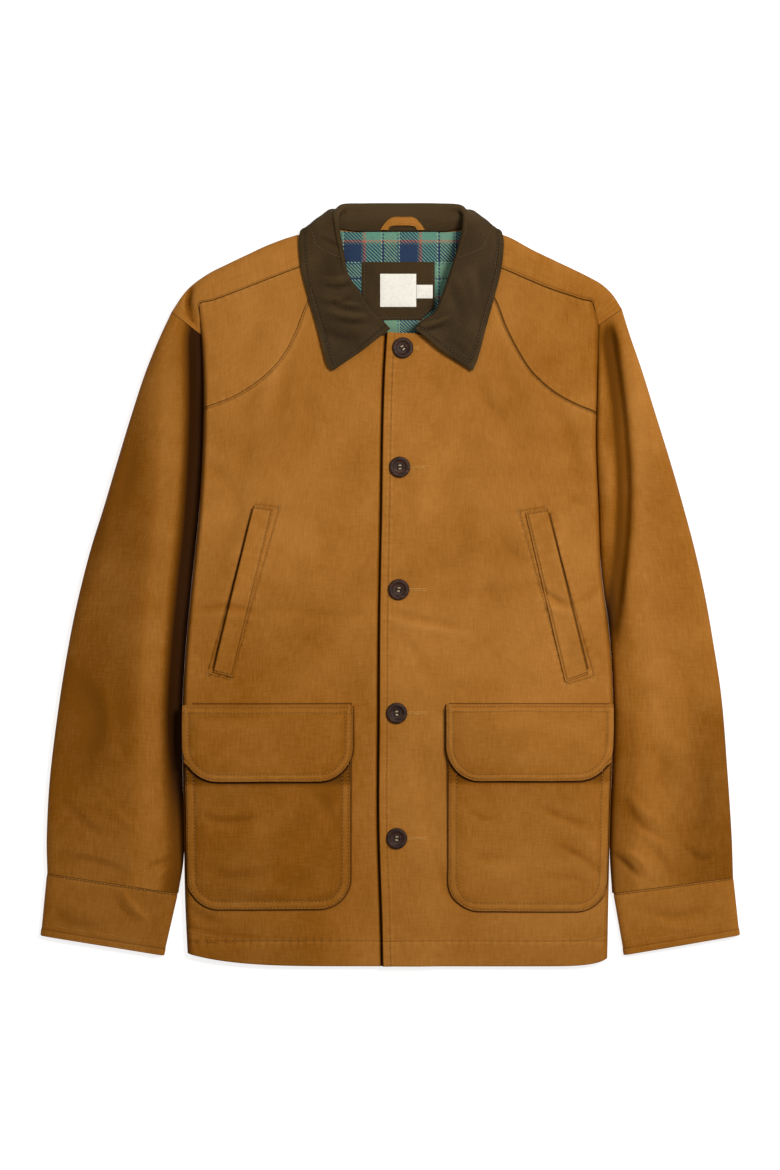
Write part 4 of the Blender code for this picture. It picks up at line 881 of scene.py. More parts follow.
back, back_present, outline_row = back_panel()
centre = back.shape[1] // 2
into_jacket = inward(back, back_present)
into_jacket *= np.sign(into_jacket[60, centre, 2])
back_inner = back + into_jacket * WALL
back_shade, seam_away = np.zeros(back.shape[:2]), np.full(back.shape[:2], FAR)
over_shoulder = back[outline_row:, :, 0], back[outline_row:, :, 1]
# Painted shade in the folds over the shoulders, and a painted shade line in the shoulder seam.
back_shade[outline_row:] = body_shade(*over_shoulder)
for side in SIGN:
    found = near(shoulder_seam[side], *over_shoulder)[0] * SHOULDER_LINE[side]
    seam_away[outline_row:] = np.minimum(seam_away[outline_row:], found)
sheet_piece("back", "back_canvas", back, back_inner, (0.46, 0.79), 0.32, ["pale_table"], shade=back_shade,
            present=back_present, sewn_rows=(seam_away - 2.4, FAR, seam_away))


# ---- The sleeves ----
# Each sleeve is an upper and an under piece, a flattened tube that rounds over at its outer seam.
# The wearer's left one has sunk into a long soft valley along the armhole.
SLEEVE = {  # outer end, its height up, inner end's height up, gap to the body, height, rounding inside
    "right": [(229, 654, 631, 0, 15.5, 9), (242, 626, 612, 0, 16.5, 9), (256, 591, 578, 0, 17.5, 9),
              (270, 548, 539, 0.1, 18.5, 10), (284.5, 500, 500, 0.1, 19, 12), (296, 461, 461, 0.1, 19, 14),
              (310, 416, 416, 0.1, 18.5, 15), (322, 369, 369, 0.1, 18, 14), (331, 326, 323, 0.1, 17.5, 12),
              (341, 266, 260, 0.1, 16.5, 10), (350.5, 191, 179, 0.1, 15, 9), (354, 131, 113, 0.1, 13, 8),
              (353.5, 93, 73, 6.5, 11.5, 7)],
    "left": [(221, 657, 640, 0, 16, 7), (229, 631, 618, 0, 16.5, 7), (241, 596, 586, 0, 17, 7),
             (255, 551, 546, 0, 17.5, 8), (269, 506, 504, 0.1, 18, 9), (282, 461, 464, 0.1, 18.5, 10),
             (294, 416, 420, 0.1, 18.5, 12), (304, 371, 375, 0.1, 18, 12), (312, 326, 326, 0.1, 17.5, 11),
             (321, 266, 265, 0.1, 16.5, 10), (327, 191, 186, 0.1, 15, 9), (331, 131, 118, 0.1, 13, 8),
             (332.5, 89, 73, 3.5, 11.5, 7)],
}


def tube_half(outer, inner, height, edge_z, roll, columns, relief=None, sunk=0.0):
    """Half of a flattened tube. Each row runs in plan from the inner seam to the outer one: the upper
    half, which has a relief, climbs to its height and rounds down, the under half lies on the table.
    Where it is `sunk`, a share of 1, it climbs from a flat-bottomed valley by a smooth step."""
    width = size_of(outer - inner, True)
    height, edge_z, roll = height[:, None], edge_z[:, None], roll[:, None]
    inner_steps = ROLL_STEPS * roll / width
    outer_steps = 1 - ROLL_STEPS[::-1] * TUBE_ROLL * height / width
    middle = np.linspace(0, 1, columns)[None, 1:-1]
    middle = inner_steps[:, -1:] + middle * (outer_steps[:, :1] - inner_steps[:, -1:])
    share = np.concatenate([inner_steps, middle, outer_steps], axis=1)
    flat = inner[:, None] * (1 - share[..., None]) + outer[:, None] * share[..., None]
    away, outer_z = share * width, TUBE_SEAM * height
    round_over = rounding((1 - share) * width, TUBE_ROLL * height)
    if relief:
        climb = rounding(away, roll)
        valley = 0.06 * rounding(away, 3.0) + 0.94 * ease((away - 4) / (2.0 * roll - 4))
        climb = climb + (valley - climb) * sunk
        top = height - relief(flat[..., 0], flat[..., 1])
        top = top + 1.6 * sunk * (ease(away / 30) - ease((away - 30) / 75) * 1.8)
        z = outer_z + (edge_z + (top - edge_z) * climb - outer_z) * round_over
    else:
        z = edge_z * (1 - rounding(away, roll)) + outer_z * (1 - round_over)
    return np.dstack([flat, z])


def sleeve_relief(x, u):
    return creased(x, u) - 1.3 * rumple(x + 300, u)


SUNK = {  # how far the sleeve's edge has sunk into a valley, by its height up
    "right": lambda u: ease((662 - u) / 40) * (1 - 0.6 * ease((250 - u) / 150)),
    "left": lambda u: 0.7 * ease((480 - u) / 110) * (1 - 0.8 * ease((400 - u) / 150)),
}
SLEEVE_SHADE = {  # painted shade in the valley, a painted highlight on the ridge beside it, darker towards the outer edge, and darker all over by an amount that changes with height
    "right": lambda away, sunk, u: (-0.95 * sunk * (1 - ease((away - 7) / 17)) - 0.1 * (1 - ease(away / 9))
                                 - 0.34 + 0.1 * ease((270 - u) / 150)
                                 + 0.16 * np.exp(-(((away - 33) / 9) ** 2)) - 0.12 * ease((away - 36) / 26)),
    "left": lambda away, sunk, u: (-0.35 * sunk * (1 - ease((away - 3) / 11)) - 0.3 * (1 - ease(away / 5))
                                - 0.12 * (1 - ease((away - 18) / 12)) - 0.08 - 0.2 * ease((330 - u) / 150)
                                + 0.12 * np.exp(-(((away - 42) / 12) ** 2)) - 0.16 * ease((away - 54) / 40)),
}
for side in SIGN:
    rows = through(SLEEVE[side], 270)
    outer, height, roll = mirrored(side, rows[:, :2]), rows[:, 4], rows[:, 5]
    edge, edge_z, _ = edge_of(side, rows[:, 2])
    inner = mirrored(side, np.stack([edge + rows[:, 3], rows[:, 2]], axis=1))
    sunk = SUNK[side](rows[:, 2])[:, None]
    upper = tube_half(outer, inner, height, edge_z, roll, 60, sleeve_relief, sunk)
    column = back[outline_row:, 0 if side == "right" else -1]
    head_z = np.interp(size_of(upper[0, :, :2] - outer[0]), size_of(column[:, :2] - outer[0]), column[:, 2])
    upper[..., 2] += (head_z - upper[0, :, 2]) * (1 - ease(np.linspace(0, 1, 270) / 0.09))[:, None]
    under = tube_half(outer, inner, height, edge_z * underarm_lift(side, rows[:, 2]), roll, 22)
    for half, grid, flat, area, rests_on in (("upper", upper, (0.2, 0.6), 0.064, "sleeve_under_" + side),
                                             ("under", under, (0.2, 0.57), 0.061, "pale_table")):
        into_sleeve = inward(grid)
        into_sleeve *= np.sign(into_sleeve[..., 2].mean()) * (-1 if half == "upper" else 1)
        from_seam, from_head = size_of(grid[..., :2] - grid[:, :1, :2]), size_of(grid[..., :2] - grid[:1, :, :2])
        x, u = grid[..., 0], grid[..., 1]
        # Painted shade in the folds and in the valley, a painted highlight on the ridge; the third line is painted
        # shade along the sleeve head and, above the underarm, the armhole seam.
        shade = painted_fold_shade(x, u) + SLEEVE_SHADE[side](from_seam, sunk, u) if half == "upper" else 0.0
        dark = np.minimum(from_head, from_seam * 1.2 + FAR * (u < UNDERARM[side][1]))
        sheet_piece(f"sleeve_{half}_{side}", f"sleeve_{half}_canvas_{side}", grid, grid + into_sleeve * WALL, flat,
                    area, [rests_on], shade=shade, sewn_rows=(FAR, FAR, dark))


# ---- The cuffs ----
# A plain band closes each sleeve: a ring of canvas, folded at its open end and stitched there and
# beside its seam.
CUFF = {  # outer end, its height up, inner end, its height up; height at the seam and the open end
    "right": [(353.8, 92.8, 222.7, 72.8, 11.9), (360, 30.5, 237, 10.5, 9.5)],
    "left": [(332.7, 88.8, 212.6, 72.8, 11.9), (339, 31, 223.5, 11, 9.5)],
}
CUFF_BAND, FROM_CUFF_SEAM, FROM_CUFF_END = 60, 1.8, 6.5  # its depth, and its rows of stitching
CUFF_DARKER = {"right": 0.34, "left": 0.22}  # how much darker the cuffs are drawn, beyond their painted fold shade


def cuff_relief(x, u):
    return creased(x, u) - 0.5 * rumple(x, u)


share = spaced(CUFF_BAND, 2.2, 0.5, (FROM_CUFF_SEAM, 53.5, CUFF_BAND), 2.5)[:, None]
from_seam, from_end = share * CUFF_BAND, (1 - share) * CUFF_BAND
groove = 0.3 * bell(from_end - FROM_CUFF_END, 0.9) + 0.3 * bell(from_seam - FROM_CUFF_SEAM, 0.9)
groove = groove + 0.5 * (1 - rounding(to_end(share) * CUFF_BAND, 1.0)) - 0.5 * (
    1 - ease((from_end - FROM_CUFF_END) / 1.5))
for side in SIGN:
    rows = np.array(CUFF[side][0]) * (1 - share) + np.array(CUFF[side][1]) * share
    outer, inner, height = mirrored(side, rows[:, :2]), mirrored(side, rows[:, 2:4]), rows[:, 4]
    upper, under = (tube_half(outer, inner, height, TUBE_SEAM * height, TUBE_ROLL * height, 60, relief)
                    for relief in (cuff_relief, None))
    ring = np.concatenate([upper, under[:, -2:0:-1]], axis=1)
    out = outwards(ring, ring=True, part=np.s_[:, 20:50])
    grids["cuff_" + side] = ring = ring - out * groove[..., None]
    # Painted shade in the folds and the grooves, the whole cuff darker, and a painted shade line at its seam.
    shade = painted_relief_shade(-groove + 0 * ring[..., 0]) + painted_fold_shade(ring[..., 0], ring[..., 1]) - CUFF_DARKER[side]
    sheet_piece("cuff_" + side, "cuff_canvas_" + side, ring, ring - out * WALL, (0.285, 0.065), None,
                ["pale_table"], shade=shade, ring=True,
                sewn_rows=(from_seam - FROM_CUFF_SEAM, from_end - FROM_CUFF_END, share * 90))


# ---- The collar ----
# A shirt collar of dark brown cotton, cut in one folded piece with interlining: the stand rises from
# the neck seam, rolls over and falls to two points. The fall's edge is stitched 6 mm in.
COLLAR = {  # place along half the neck seam; roll line, lean; middle of the fall; its free edge
    "right": [
        (0, 10.5, 636.5, 20, 5, 39, 614, 19.5, 67.5, 594.5, 20.5),
        (0.060, 20.5, 647, 21, 8, 47, 624, 19.8, 73.5, 602, 20),
        (0.140, 31, 656.5, 22, 12, 58, 643, 20, 81.8, 633, 18.6),
        (0.230, 40, 672, 23, 20, 67, 665, 20, 91.3, 664, 18),
        (0.330, 52.5, 690, 24, 32, 76, 691, 20, 98.8, 694, 18),
        (0.450, 58, 714, 25, 48, 82, 720, 20, 101.7, 721, 17.5),
        (0.560, 62, 732, 24.5, 65, 84, 738, 20, 100.5, 733, 13.5),
        (0.600, 63.5, 740.5, 23, 78, 84, 744, 15, 98, 735, 6.5),
        (0.640, 64.5, 747, 21, 90, 78, 750.5, 8, 93, 732, 1.4),
        (0.680, 64, 753.5, 17.5, 108, 71, 755, 2.6, 86, 716, 1.25),
        (0.760, 57.5, 761, 12.5, 145, 60, 750, 1.4, 62, 703, 1.25),
        (0.880, 35, 762.6, 8.5, 172, 35, 738, 1.25, 35, 699, 1.25),
        (1, 0, 763, 6, 178, 0, 738, 1.25, 0, 697, 1.25),
    ],
    "left": [
        (0, 13.5, 636.5, 21.5, 5, 42, 613, 20.5, 71.5, 594, 20.5),
        (0.060, 22, 645.5, 22.5, 8, 50, 624, 21, 77, 607, 20),
        (0.140, 33, 652, 24, 12, 60, 642, 21.5, 83.8, 633, 18.8),
        (0.230, 40, 667, 26, 20, 68, 664, 22, 92.3, 664, 18.2),
        (0.330, 48, 689, 27.5, 32, 76, 690, 22, 99.8, 694, 18),
        (0.450, 56.5, 713, 27.5, 48, 82, 720, 21, 102.7, 719, 17.5),
        (0.560, 62, 731, 26, 65, 85, 737.5, 20.5, 101, 732, 13.5),
        (0.600, 63.8, 739.5, 24, 78, 85, 743, 15, 99, 734, 6.5),
        (0.640, 65, 746, 21.5, 90, 79, 749.5, 8, 93.5, 731.5, 1.4),
        (0.680, 65, 752.5, 17.5, 108, 72, 754, 2.6, 86, 716, 1.25),
        (0.760, 58.5, 760.5, 12.5, 145, 61, 750, 1.4, 62, 703, 1.25),
        (0.880, 35, 762.6, 8.5, 172, 35, 738, 1.25, 35, 699, 1.25),
        (1, 0, 763, 6, 178, 0, 738, 1.25, 0, 697, 1.25),
    ],
}
ROLL_RADIUS = 2.1
STAND_GAP = 1.7
COLLAR_STITCH = 6.0
COLLAR_CREASES = [
    ((-80, 728), (-66, 722), (-56, 712), 2.2, 0.8),
    ((-84, 684), (-64, 672), (-44, 684), 1.8, 0.9),
    ((-82, 690), (-62, 682), (-46, 690), 2.2, -0.6),
    ((-88, 668), (-70, 656), (-46, 668), 2.4, 0.8),
    ((-72, 664), (-56, 654), (-34, 656), 1.6, 0.9),
    ((-70, 668), (-54, 661), (-36, 660), 1.6, -0.6),
    ((-76, 650), (-54, 640), (-26, 644), 2, 0.9),
    ((-74, 655), (-54, 648), (-30, 650), 2, -0.7),
    ((-82, 640), (-62, 626), (-40, 626), 3.2, 0.7),
    ((-92, 650), (-84, 630), (-76, 612), 3, -0.5),
    ((16, 636), (30, 634), (46, 642), 1.8, 1),
    ((20, 641), (34, 640), (50, 650), 2, -0.7),
    ((46, 690), (58, 668), (66, 636), 5, 0.7),
    ((70, 700), (76, 676), (78, 650), 6, -0.5),
    ((44, 628), (58, 622), (70, 606), 3, 0.5),
]


def neck_seam(side):
    """Middle of the cloth's edge along half the neck: front, yoke, shoulder, back."""
    front = grids["front_" + side][-1]
    peak = int(np.argmax(front[:, 1]))
    start = int(np.argmin(np.abs(front[:, 0] - SIGN[side] * NECKLINE[side][1][0])))
    middle = (back + back_inner) / 2
    middle = middle if side == "right" else middle[:, ::-1]
    down, corner = [0, 0, CLOTH / 2], COLUMNS_A_SIDE - 1
    return np.concatenate([front[start:peak:-1] - down, grids["yoke_" + side][1:, -1] - down,
                           middle[:outline_row:-1, corner], middle[outline_row, corner:centre + 1]])


def collar_grid(sections, stations):
    """The collar's middle surface. Each section runs from the neck seam up the stand, round the roll
    and down the fall; sections go from the right front end over the centre back to the left one."""
    right = np.array(COLLAR["right"], float) * [1, -1, 1, 1, 1, -1, 1, 1, -1, 1, 1]
    table = np.concatenate([right, np.array(COLLAR["left"], float)[-2::-1]])
    at = np.linspace(0, len(table) - 1, sections)
    share = np.interp(at, np.arange(len(table)), table[:, 0])
    seams = np.where((at < len(right))[:, None] & (at <= len(right) - 1)[:, None],
                     along(neck_seam("right"), share), along(neck_seam("left"), share))
    rows = through(table, sections)
    roll, lean, middle, edge = rows[:, 1:4], np.radians(rows[:, 4:5]), rows[:, 5:8], rows[:, 8:11]
    for part in (middle, edge):
        part[:, 2] = np.maximum(part[:, 2], COLLAR_CLOTH / 2)
    tangent = np.gradient(roll[:, :2], axis=0)
    tangent /= size_of(tangent, True)
    into_neck = np.stack([tangent[:, 1], -tangent[:, 0], tangent[:, 0] * 0], axis=1)
    point = np.cos(lean) * into_neck + np.sin(lean) * [0, 0, 1.0]
    to_fall = np.cos(lean) * [0, 0, 1.0] - np.sin(lean) * into_neck
    r, tip = ROLL_RADIUS, roll - point * COLLAR_CLOTH / 2
    under, fold_in, turn_in, turn_out, fall_top = (
        tip - point * back_by * r + to_fall * over_by * r
        for back_by, over_by in ((3.6, -1), (1.2, -1), (0.3, -0.75), (0.3, 0.75), (1.2, 1)))
    start = seams + (under - seams) / size_of(under - seams, True) * STAND_GAP
    fall = fall_top + (middle - fall_top) * 0.4 + to_fall * 0.8
    table = np.stack([start, (start + under) / 2, under, fold_in, turn_in, tip, turn_out, fall_top, fall, middle,
                      (middle + edge) / 2, edge])
    return through(table.reshape(len(table), -1), stations).reshape(stations, sections, 3).transpose(1, 0, 2)


collar = collar_grid(230, 56)
x, u = collar[..., 0], collar[..., 1]
fall_share = np.linspace(0, 1, collar.shape[1])[None, :]
on_fall = fall_share > 0.55
from_edge = size_of(collar - collar[:, -1:])
ends = np.minimum(np.arange(len(collar)), np.arange(len(collar))[::-1])[:, None] * 1.6
from_rim = np.minimum(from_edge, ends + 99 * (fall_share < 0.5))
t = np.linspace(0, 1, 13)[:, None]
collar_press = np.zeros(collar.shape[:2])
for start, middle, end, half_width, deep in COLLAR_CREASES:
    line = (1 - t) ** 2 * np.array(start) + 2 * t * (1 - t) * np.array(middle) + t**2 * np.array(end)
    collar_press += deep * crease(line, x, u, half_width, reach=12)
collar_press *= fall_share > 0.45
collar_press += 0.5 * bell(from_rim - COLLAR_STITCH, 1.0) * on_fall
collar_press -= 0.25 * np.sin(x / 9.0 + 2.2 * np.sin(u / 17.0)) * on_fall
collar_out = outwards(collar, part=np.s_[:8, 40:])
half_thick = COLLAR_CLOTH / 2 * (0.45 + 0.55 * rounding(np.minimum(from_rim, 3.0), 1.6))
collar_top = collar + collar_out * (half_thick - collar_press)[..., None]
collar_low = collar - collar_out * half_thick[..., None]
# Painted shade in the creases and stitched grooves, the ridges a little lighter as wear, and a painted highlight
# along the top of the back, where the roll faces up.
collar_shade = painted_relief_shade(-collar_press) - 0.2 * np.clip(collar_press, -1.0, 1.2) + 0.22 * ease((u - 735) / 18)
# Dark brown cotton twill, waxed like the shell: it gives the eye a soft, almost black brown, a little
# paler on its ridges, with painted shade in its creases and a painted highlight along the top of its back.
collar_cotton = canvas_weave("dark brown collar cotton", "#45351f", "#2e2213", "#5c4a33", "#120b05")
sheet_piece("collar", "folded_collar", collar_top, collar_low, (0.47, 0.09), 0.038,
            ["front_left", "front_right", "back"], collar_cotton, "folded", "collar_cotton", shade=collar_shade,
            sewn_rows=(np.where(fall_share > 0.5, from_rim - COLLAR_STITCH, FAR),))


# ---- Inside the neck: lining, patch and labels ----
# The back is lined with a brushed plaid flannel, of which the neck shows a part. A brown patch with
# its lower corners cut off is stitched on it, and carries a white woven label and a size tab, both bare.
THIN_CLOTH, LABEL_CLOTH = 1.0, 0.8
PLAID_REPEAT = 56
PLAID = [  # where each band starts, across or up, in mm of a 56 mm repeat, and its colour
    (0, "#22334e"), (17.5, "#4a5856"), (19.5, "#a0604a"), (22, "#5a8775"), (37, "#88a488"), (38.3, "#22334e"),
    (40.3, "#6c8f75"), (53.5, "#38646b"), (55, "#93ab8c"),
]


def plaid_flannel():
    """Plaid flannel: the same bands run across and up, and a diagonal twill shows one or the other at
    each spot. The 1 mm twill is drawn 1.5 mm wide. Brushing blurs the edges a little."""
    made, tree, shader, spot, _ = new_material("brushed plaid flannel")
    fuzz = node(tree, "TexNoise", {"Vector": spot, "Scale": 900, "Detail": 2})
    split = node(tree, "SeparateXYZ", {"Vector": spot})
    banded = []
    for axis, start in ((0, -57 + CENTRE_TO_MIDDLE), (1, 704 - HALF_LENGTH)):
        turns = node(tree, "Math", {0: weighted(tree, [(fuzz, 0.0009)], split.outputs[axis]), 1: 1000 / PLAID_REPEAT,
                                    2: 10 - start / PLAID_REPEAT - 0.008}, operation="MULTIPLY_ADD")
        banded.append(node(tree, "ValToRGB", {"Fac": node(tree, "Math", {0: turns}, operation="FRACT")},
                           stops=[(at / PLAID_REPEAT, code) for at, code in PLAID], blend="CONSTANT"))
    diagonal = node(tree, "TexWave", {"Vector": spot, "Scale": wave_scale(1.5) / 1.2}, bands_direction="DIAGONAL")
    over = node(tree, "Math", {0: diagonal.outputs["Fac"], 1: 0.5}, operation="GREATER_THAN")
    mixed = node(tree, "MixRGB", {"Fac": over, "Color1": banded[0], "Color2": banded[1]})
    joined(tree, shader, {
        "Base Color": node(tree, "MixRGB", {"Fac": 0.5, "Color1": mixed, "Color2": fuzz.outputs["Color"]},
                           blend_type="OVERLAY"),
        "Roughness": 0.95, "Sheen Weight": 0.4, "Specular IOR Level": 0.2,
        "Normal": node(tree, "Bump", {"Height": fuzz, "Strength": 0.4, "Distance": 0.0004})})
    return made


def woven_label():
    """White woven label: fine ribs across it, slightly uneven, left bare."""
    made, tree, shader, spot, _ = new_material("white woven label")
    ribs = node(tree, "TexWave", {"Vector": spot, "Scale": wave_scale(0.9), "Distortion": 0.6},
                bands_direction="Y")
    tone = weighted(tree, [(ribs.outputs["Fac"], 0.35)],
                    node(tree, "TexNoise", {"Vector": spot, "Scale": 500, "Detail": 3}))
    joined(tree, shader, {
        "Base Color": node(tree, "ValToRGB", {"Fac": tone}, stops=[(0.3, "#d9d3c4"), (0.8, "#efebdf")]),
        "Roughness": 0.7, "Normal": node(tree, "Bump", {"Height": tone, "Strength": 0.3, "Distance": 0.0002})})
    return made


def flat_patch(name, sections, rows, columns, layer, thickness, border, *declared):
    """A flat piece on the lining. Each section is its height up and its two ends. It is pressed in
    along the stitching, `border` mm inside its edge."""
    up, *ends = np.array(sections, float).T
    at = np.linspace(up[0], up[-1], rows)[:, None]
    left, right = (np.interp(at, up, end) for end in ends)
    share = np.linspace(0, 1, columns)
    x, u = left * (1 - share) + right * share, at + 0 * share
    inside = np.minimum(np.minimum(u - at[0], at[-1] - u), np.minimum(x - left, right - x))
    low = over_the_fall(x, u) + CLOTH + THIN_CLOTH + layer
    z = low + thickness * (0.4 + 0.6 * rounding(inside, 0.8)) - 0.35 * bell(inside - border, 0.8)
    z = z + 0.25 * np.sin(x / 6.0 + 1.3 * np.sin(u / 8.0))
    sheet_piece(name, name + "_cloth", np.dstack([x, u, z]), np.dstack([x, u, low]), *declared)


# Brushed plaid flannel gives the eye fuzzy blue and green squares with a thin rust line. The woven
# label gives it a ribbed off-white.
flannel, label_weave = plaid_flannel(), woven_label()
neck_part = np.s_[outline_row - 44:outline_row + 1, COLUMNS_A_SIDE:-COLUMNS_A_SIDE]
lining_low = (back_inner + into_jacket * 0.2)[neck_part]
lining_top = lining_low + into_jacket[neck_part] * THIN_CLOTH
lining_top[..., 2] += 0.35 * np.sin(lining_top[..., 0] / 7.0 + np.sin(lining_top[..., 1] / 11.0))
sheet_piece("lining", "flannel_lining", lining_top, lining_low, (0.156, 0.175), 0.0255, ["back"], flannel,
            slot="plaid_flannel")
flat_patch("neck_patch", [(646, -25.5, 20.5), (658, -38.5, 33.5), (680, -39, 34), (704, -39, 34)], 50, 60, 0.5,
           THIN_CLOTH, 2.5, (0.073, 0.058), 0.0041, ["lining"], collar_cotton, "laid", "collar_cotton")
flat_patch("label", [(659, -20.5, 15.5), (692, -20.5, 15.5)], 30, 34, 1.7, LABEL_CLOTH, 1.5, (0.036, 0.033), None,
           ["neck_patch"], label_weave, "laid", "woven_label")
flat_patch("size_tab", [(667.5, 15.8, 32), (681, 15.8, 32)], 14, 16, 1.7, LABEL_CLOTH, 1.2, (0.0162, 0.0135), None,
           ["neck_patch"], label_weave, "laid", "woven_label")


# ---- The hanger loop ----
# A canvas strip folded into a band, bent like a bracket and caught in the neck seam at both ends.
LOOP_WIDTH = 9.0
trees = {}


def height_on(names, x, u):
    """Height of the topmost face of the named pieces under each plan point."""
    best = np.zeros(np.shape(x))
    for name in names:
        if name not in trees:
            bpy.context.view_layer.update()
            trees[name] = BVHTree.FromObject(pieces[name], bpy.context.evaluated_depsgraph_get())
        spots = place(np.stack([np.ravel(x), np.ravel(u), np.full(np.size(x), 60.0)], axis=1))
        hits = [trees[name].ray_cast(Vector(p), Vector((0, 0, -1)))[0] for p in spots]
        found = np.array([0.0 if hit is None else hit.z / MM for hit in hits])
        best = np.maximum(best, found.reshape(np.shape(x)))
    return best


outside = smooth_line([(-21, 736), (-16, 743), (-9, 748.5), (2, 749), (13, 748.5), (20, 742.5), (24.5, 736)], 70)
inside = smooth_line([(-12, 736), (-10.8, 738.6), (-7, 739.6), (2, 739.8), (10.5, 739.6), (14, 738.6),
                      (15.5, 736)], 70)
s = np.linspace(0, 1, 13)
plan = outside[:, None] * (1 - s[:, None]) + inside[:, None] * s[:, None]
low = np.maximum(height_on(["collar"], plan[..., 0], plan[..., 1]), 6.0)
for _ in range(4):
    low = (low + np.roll(low, 1, axis=0) + np.roll(low, -1, axis=0)) / 3
low = low.max(axis=1, keepdims=True) + 0 * low + LAY
from_side = to_end(s) * LOOP_WIDTH
band = 1.4 * rounding(from_side, 1.3) + 0.2 - 0.45 * bell(from_side - 1.7, 0.6)
sheet_piece("hanger_loop", "canvas_hanger_loop", np.dstack([plan, low + band]), np.dstack([plan, low]),
            (0.056, 0.01), 0.0005, ["collar"], held="folded")


# ---- Patch pockets and their flaps ----
# Two patch pockets with rounded lower corners are sewn on with two rows of stitching, 6 mm apart.
# Each has a flap sewn above its mouth, turned down over it and stitched round its free edge.
POCKET_SWELL = 2.2
POCKET_ROWS, FLAP_ROWS = (1.8, 8.0), (2.0, 7.0)  # mm from the edge to the two rows of stitching
COVER_SHADE = {"right": -0.35, "left": -0.2}
COVER_CREASES = {  # soft creases of the pockets
    "right": [((-204, 158), (-176, 148), (-136, 152), 5, 0.5), ((-92, 184), (-72, 160), (-60, 128), 7, 0.5),
              ((-200, 108), (-168, 94), (-120, 100), 6, 0.4), ((-150, 186), (-140, 140), (-146, 90), 11, -0.5)],
    "left": [((56, 176), (76, 152), (112, 146), 5, 0.5), ((126, 168), (164, 150), (206, 140), 5, 0.6),
             ((56, 130), (80, 112), (124, 108), 7, 0.6), ((146, 130), (182, 110), (206, 90), 5, 0.8),
             ((150, 146), (184, 128), (206, 112), 5, -0.6), ((130, 92), (176, 90), (204, 74), 6, 0.5)],
}


def front_cover(side, size, coarse, close):
    """A pocket or flap on the front's surface: its points and normals, its shares up and across, and
    the distances to its free edge and to its top. The lower corners are quarter circles."""
    inset, far, bottom, top, radius = size
    width = edge_of(side, (bottom + top) / 2)[0] - far - inset
    corner = radius * (1 - np.cos(np.radians(np.linspace(0, 90, 26))))
    across = np.concatenate([corner, np.linspace(radius, width - radius, 46)[1:-1], width - corner[::-1]])
    from_side = np.minimum(across, width - across)
    low = bottom + radius * (1 - rounding(from_side, radius))
    t = spaced(top - bottom, coarse, 0.5, close, 2.2)[:, None]
    u = low * (1 - t) + top * t
    reach, aside, up = across / width + 0 * u, from_side + 0 * u, u - bottom
    distance = inset + (edge_of(side, u)[0] - far - inset) * reach
    base = front_surface(side, distance, u)
    base[..., 2] = front_surface(side, np.maximum(distance, 4.5), u)[..., 2]
    free = np.where((aside < radius) & (up < radius), radius - np.hypot(radius - aside, radius - up),
                    np.minimum(aside, up))
    return base, outwards(base), t + 0 * u, reach, np.maximum(free, 0.0), top - u


def bellow(across):
    """How far a pocket swells: level in its middle, with a smooth step up from each side."""
    return POCKET_SWELL * ease(to_end(across) / 0.12)


def double_row(distance, first, second):
    """Grooves of two rows of stitching, and the turned-in edge that stands proud between them."""
    groove = 0.3 * bell(distance - first, 0.8) + 0.3 * bell(distance - second, 0.9)
    return groove - 0.4 * (1 - ease(distance - second))


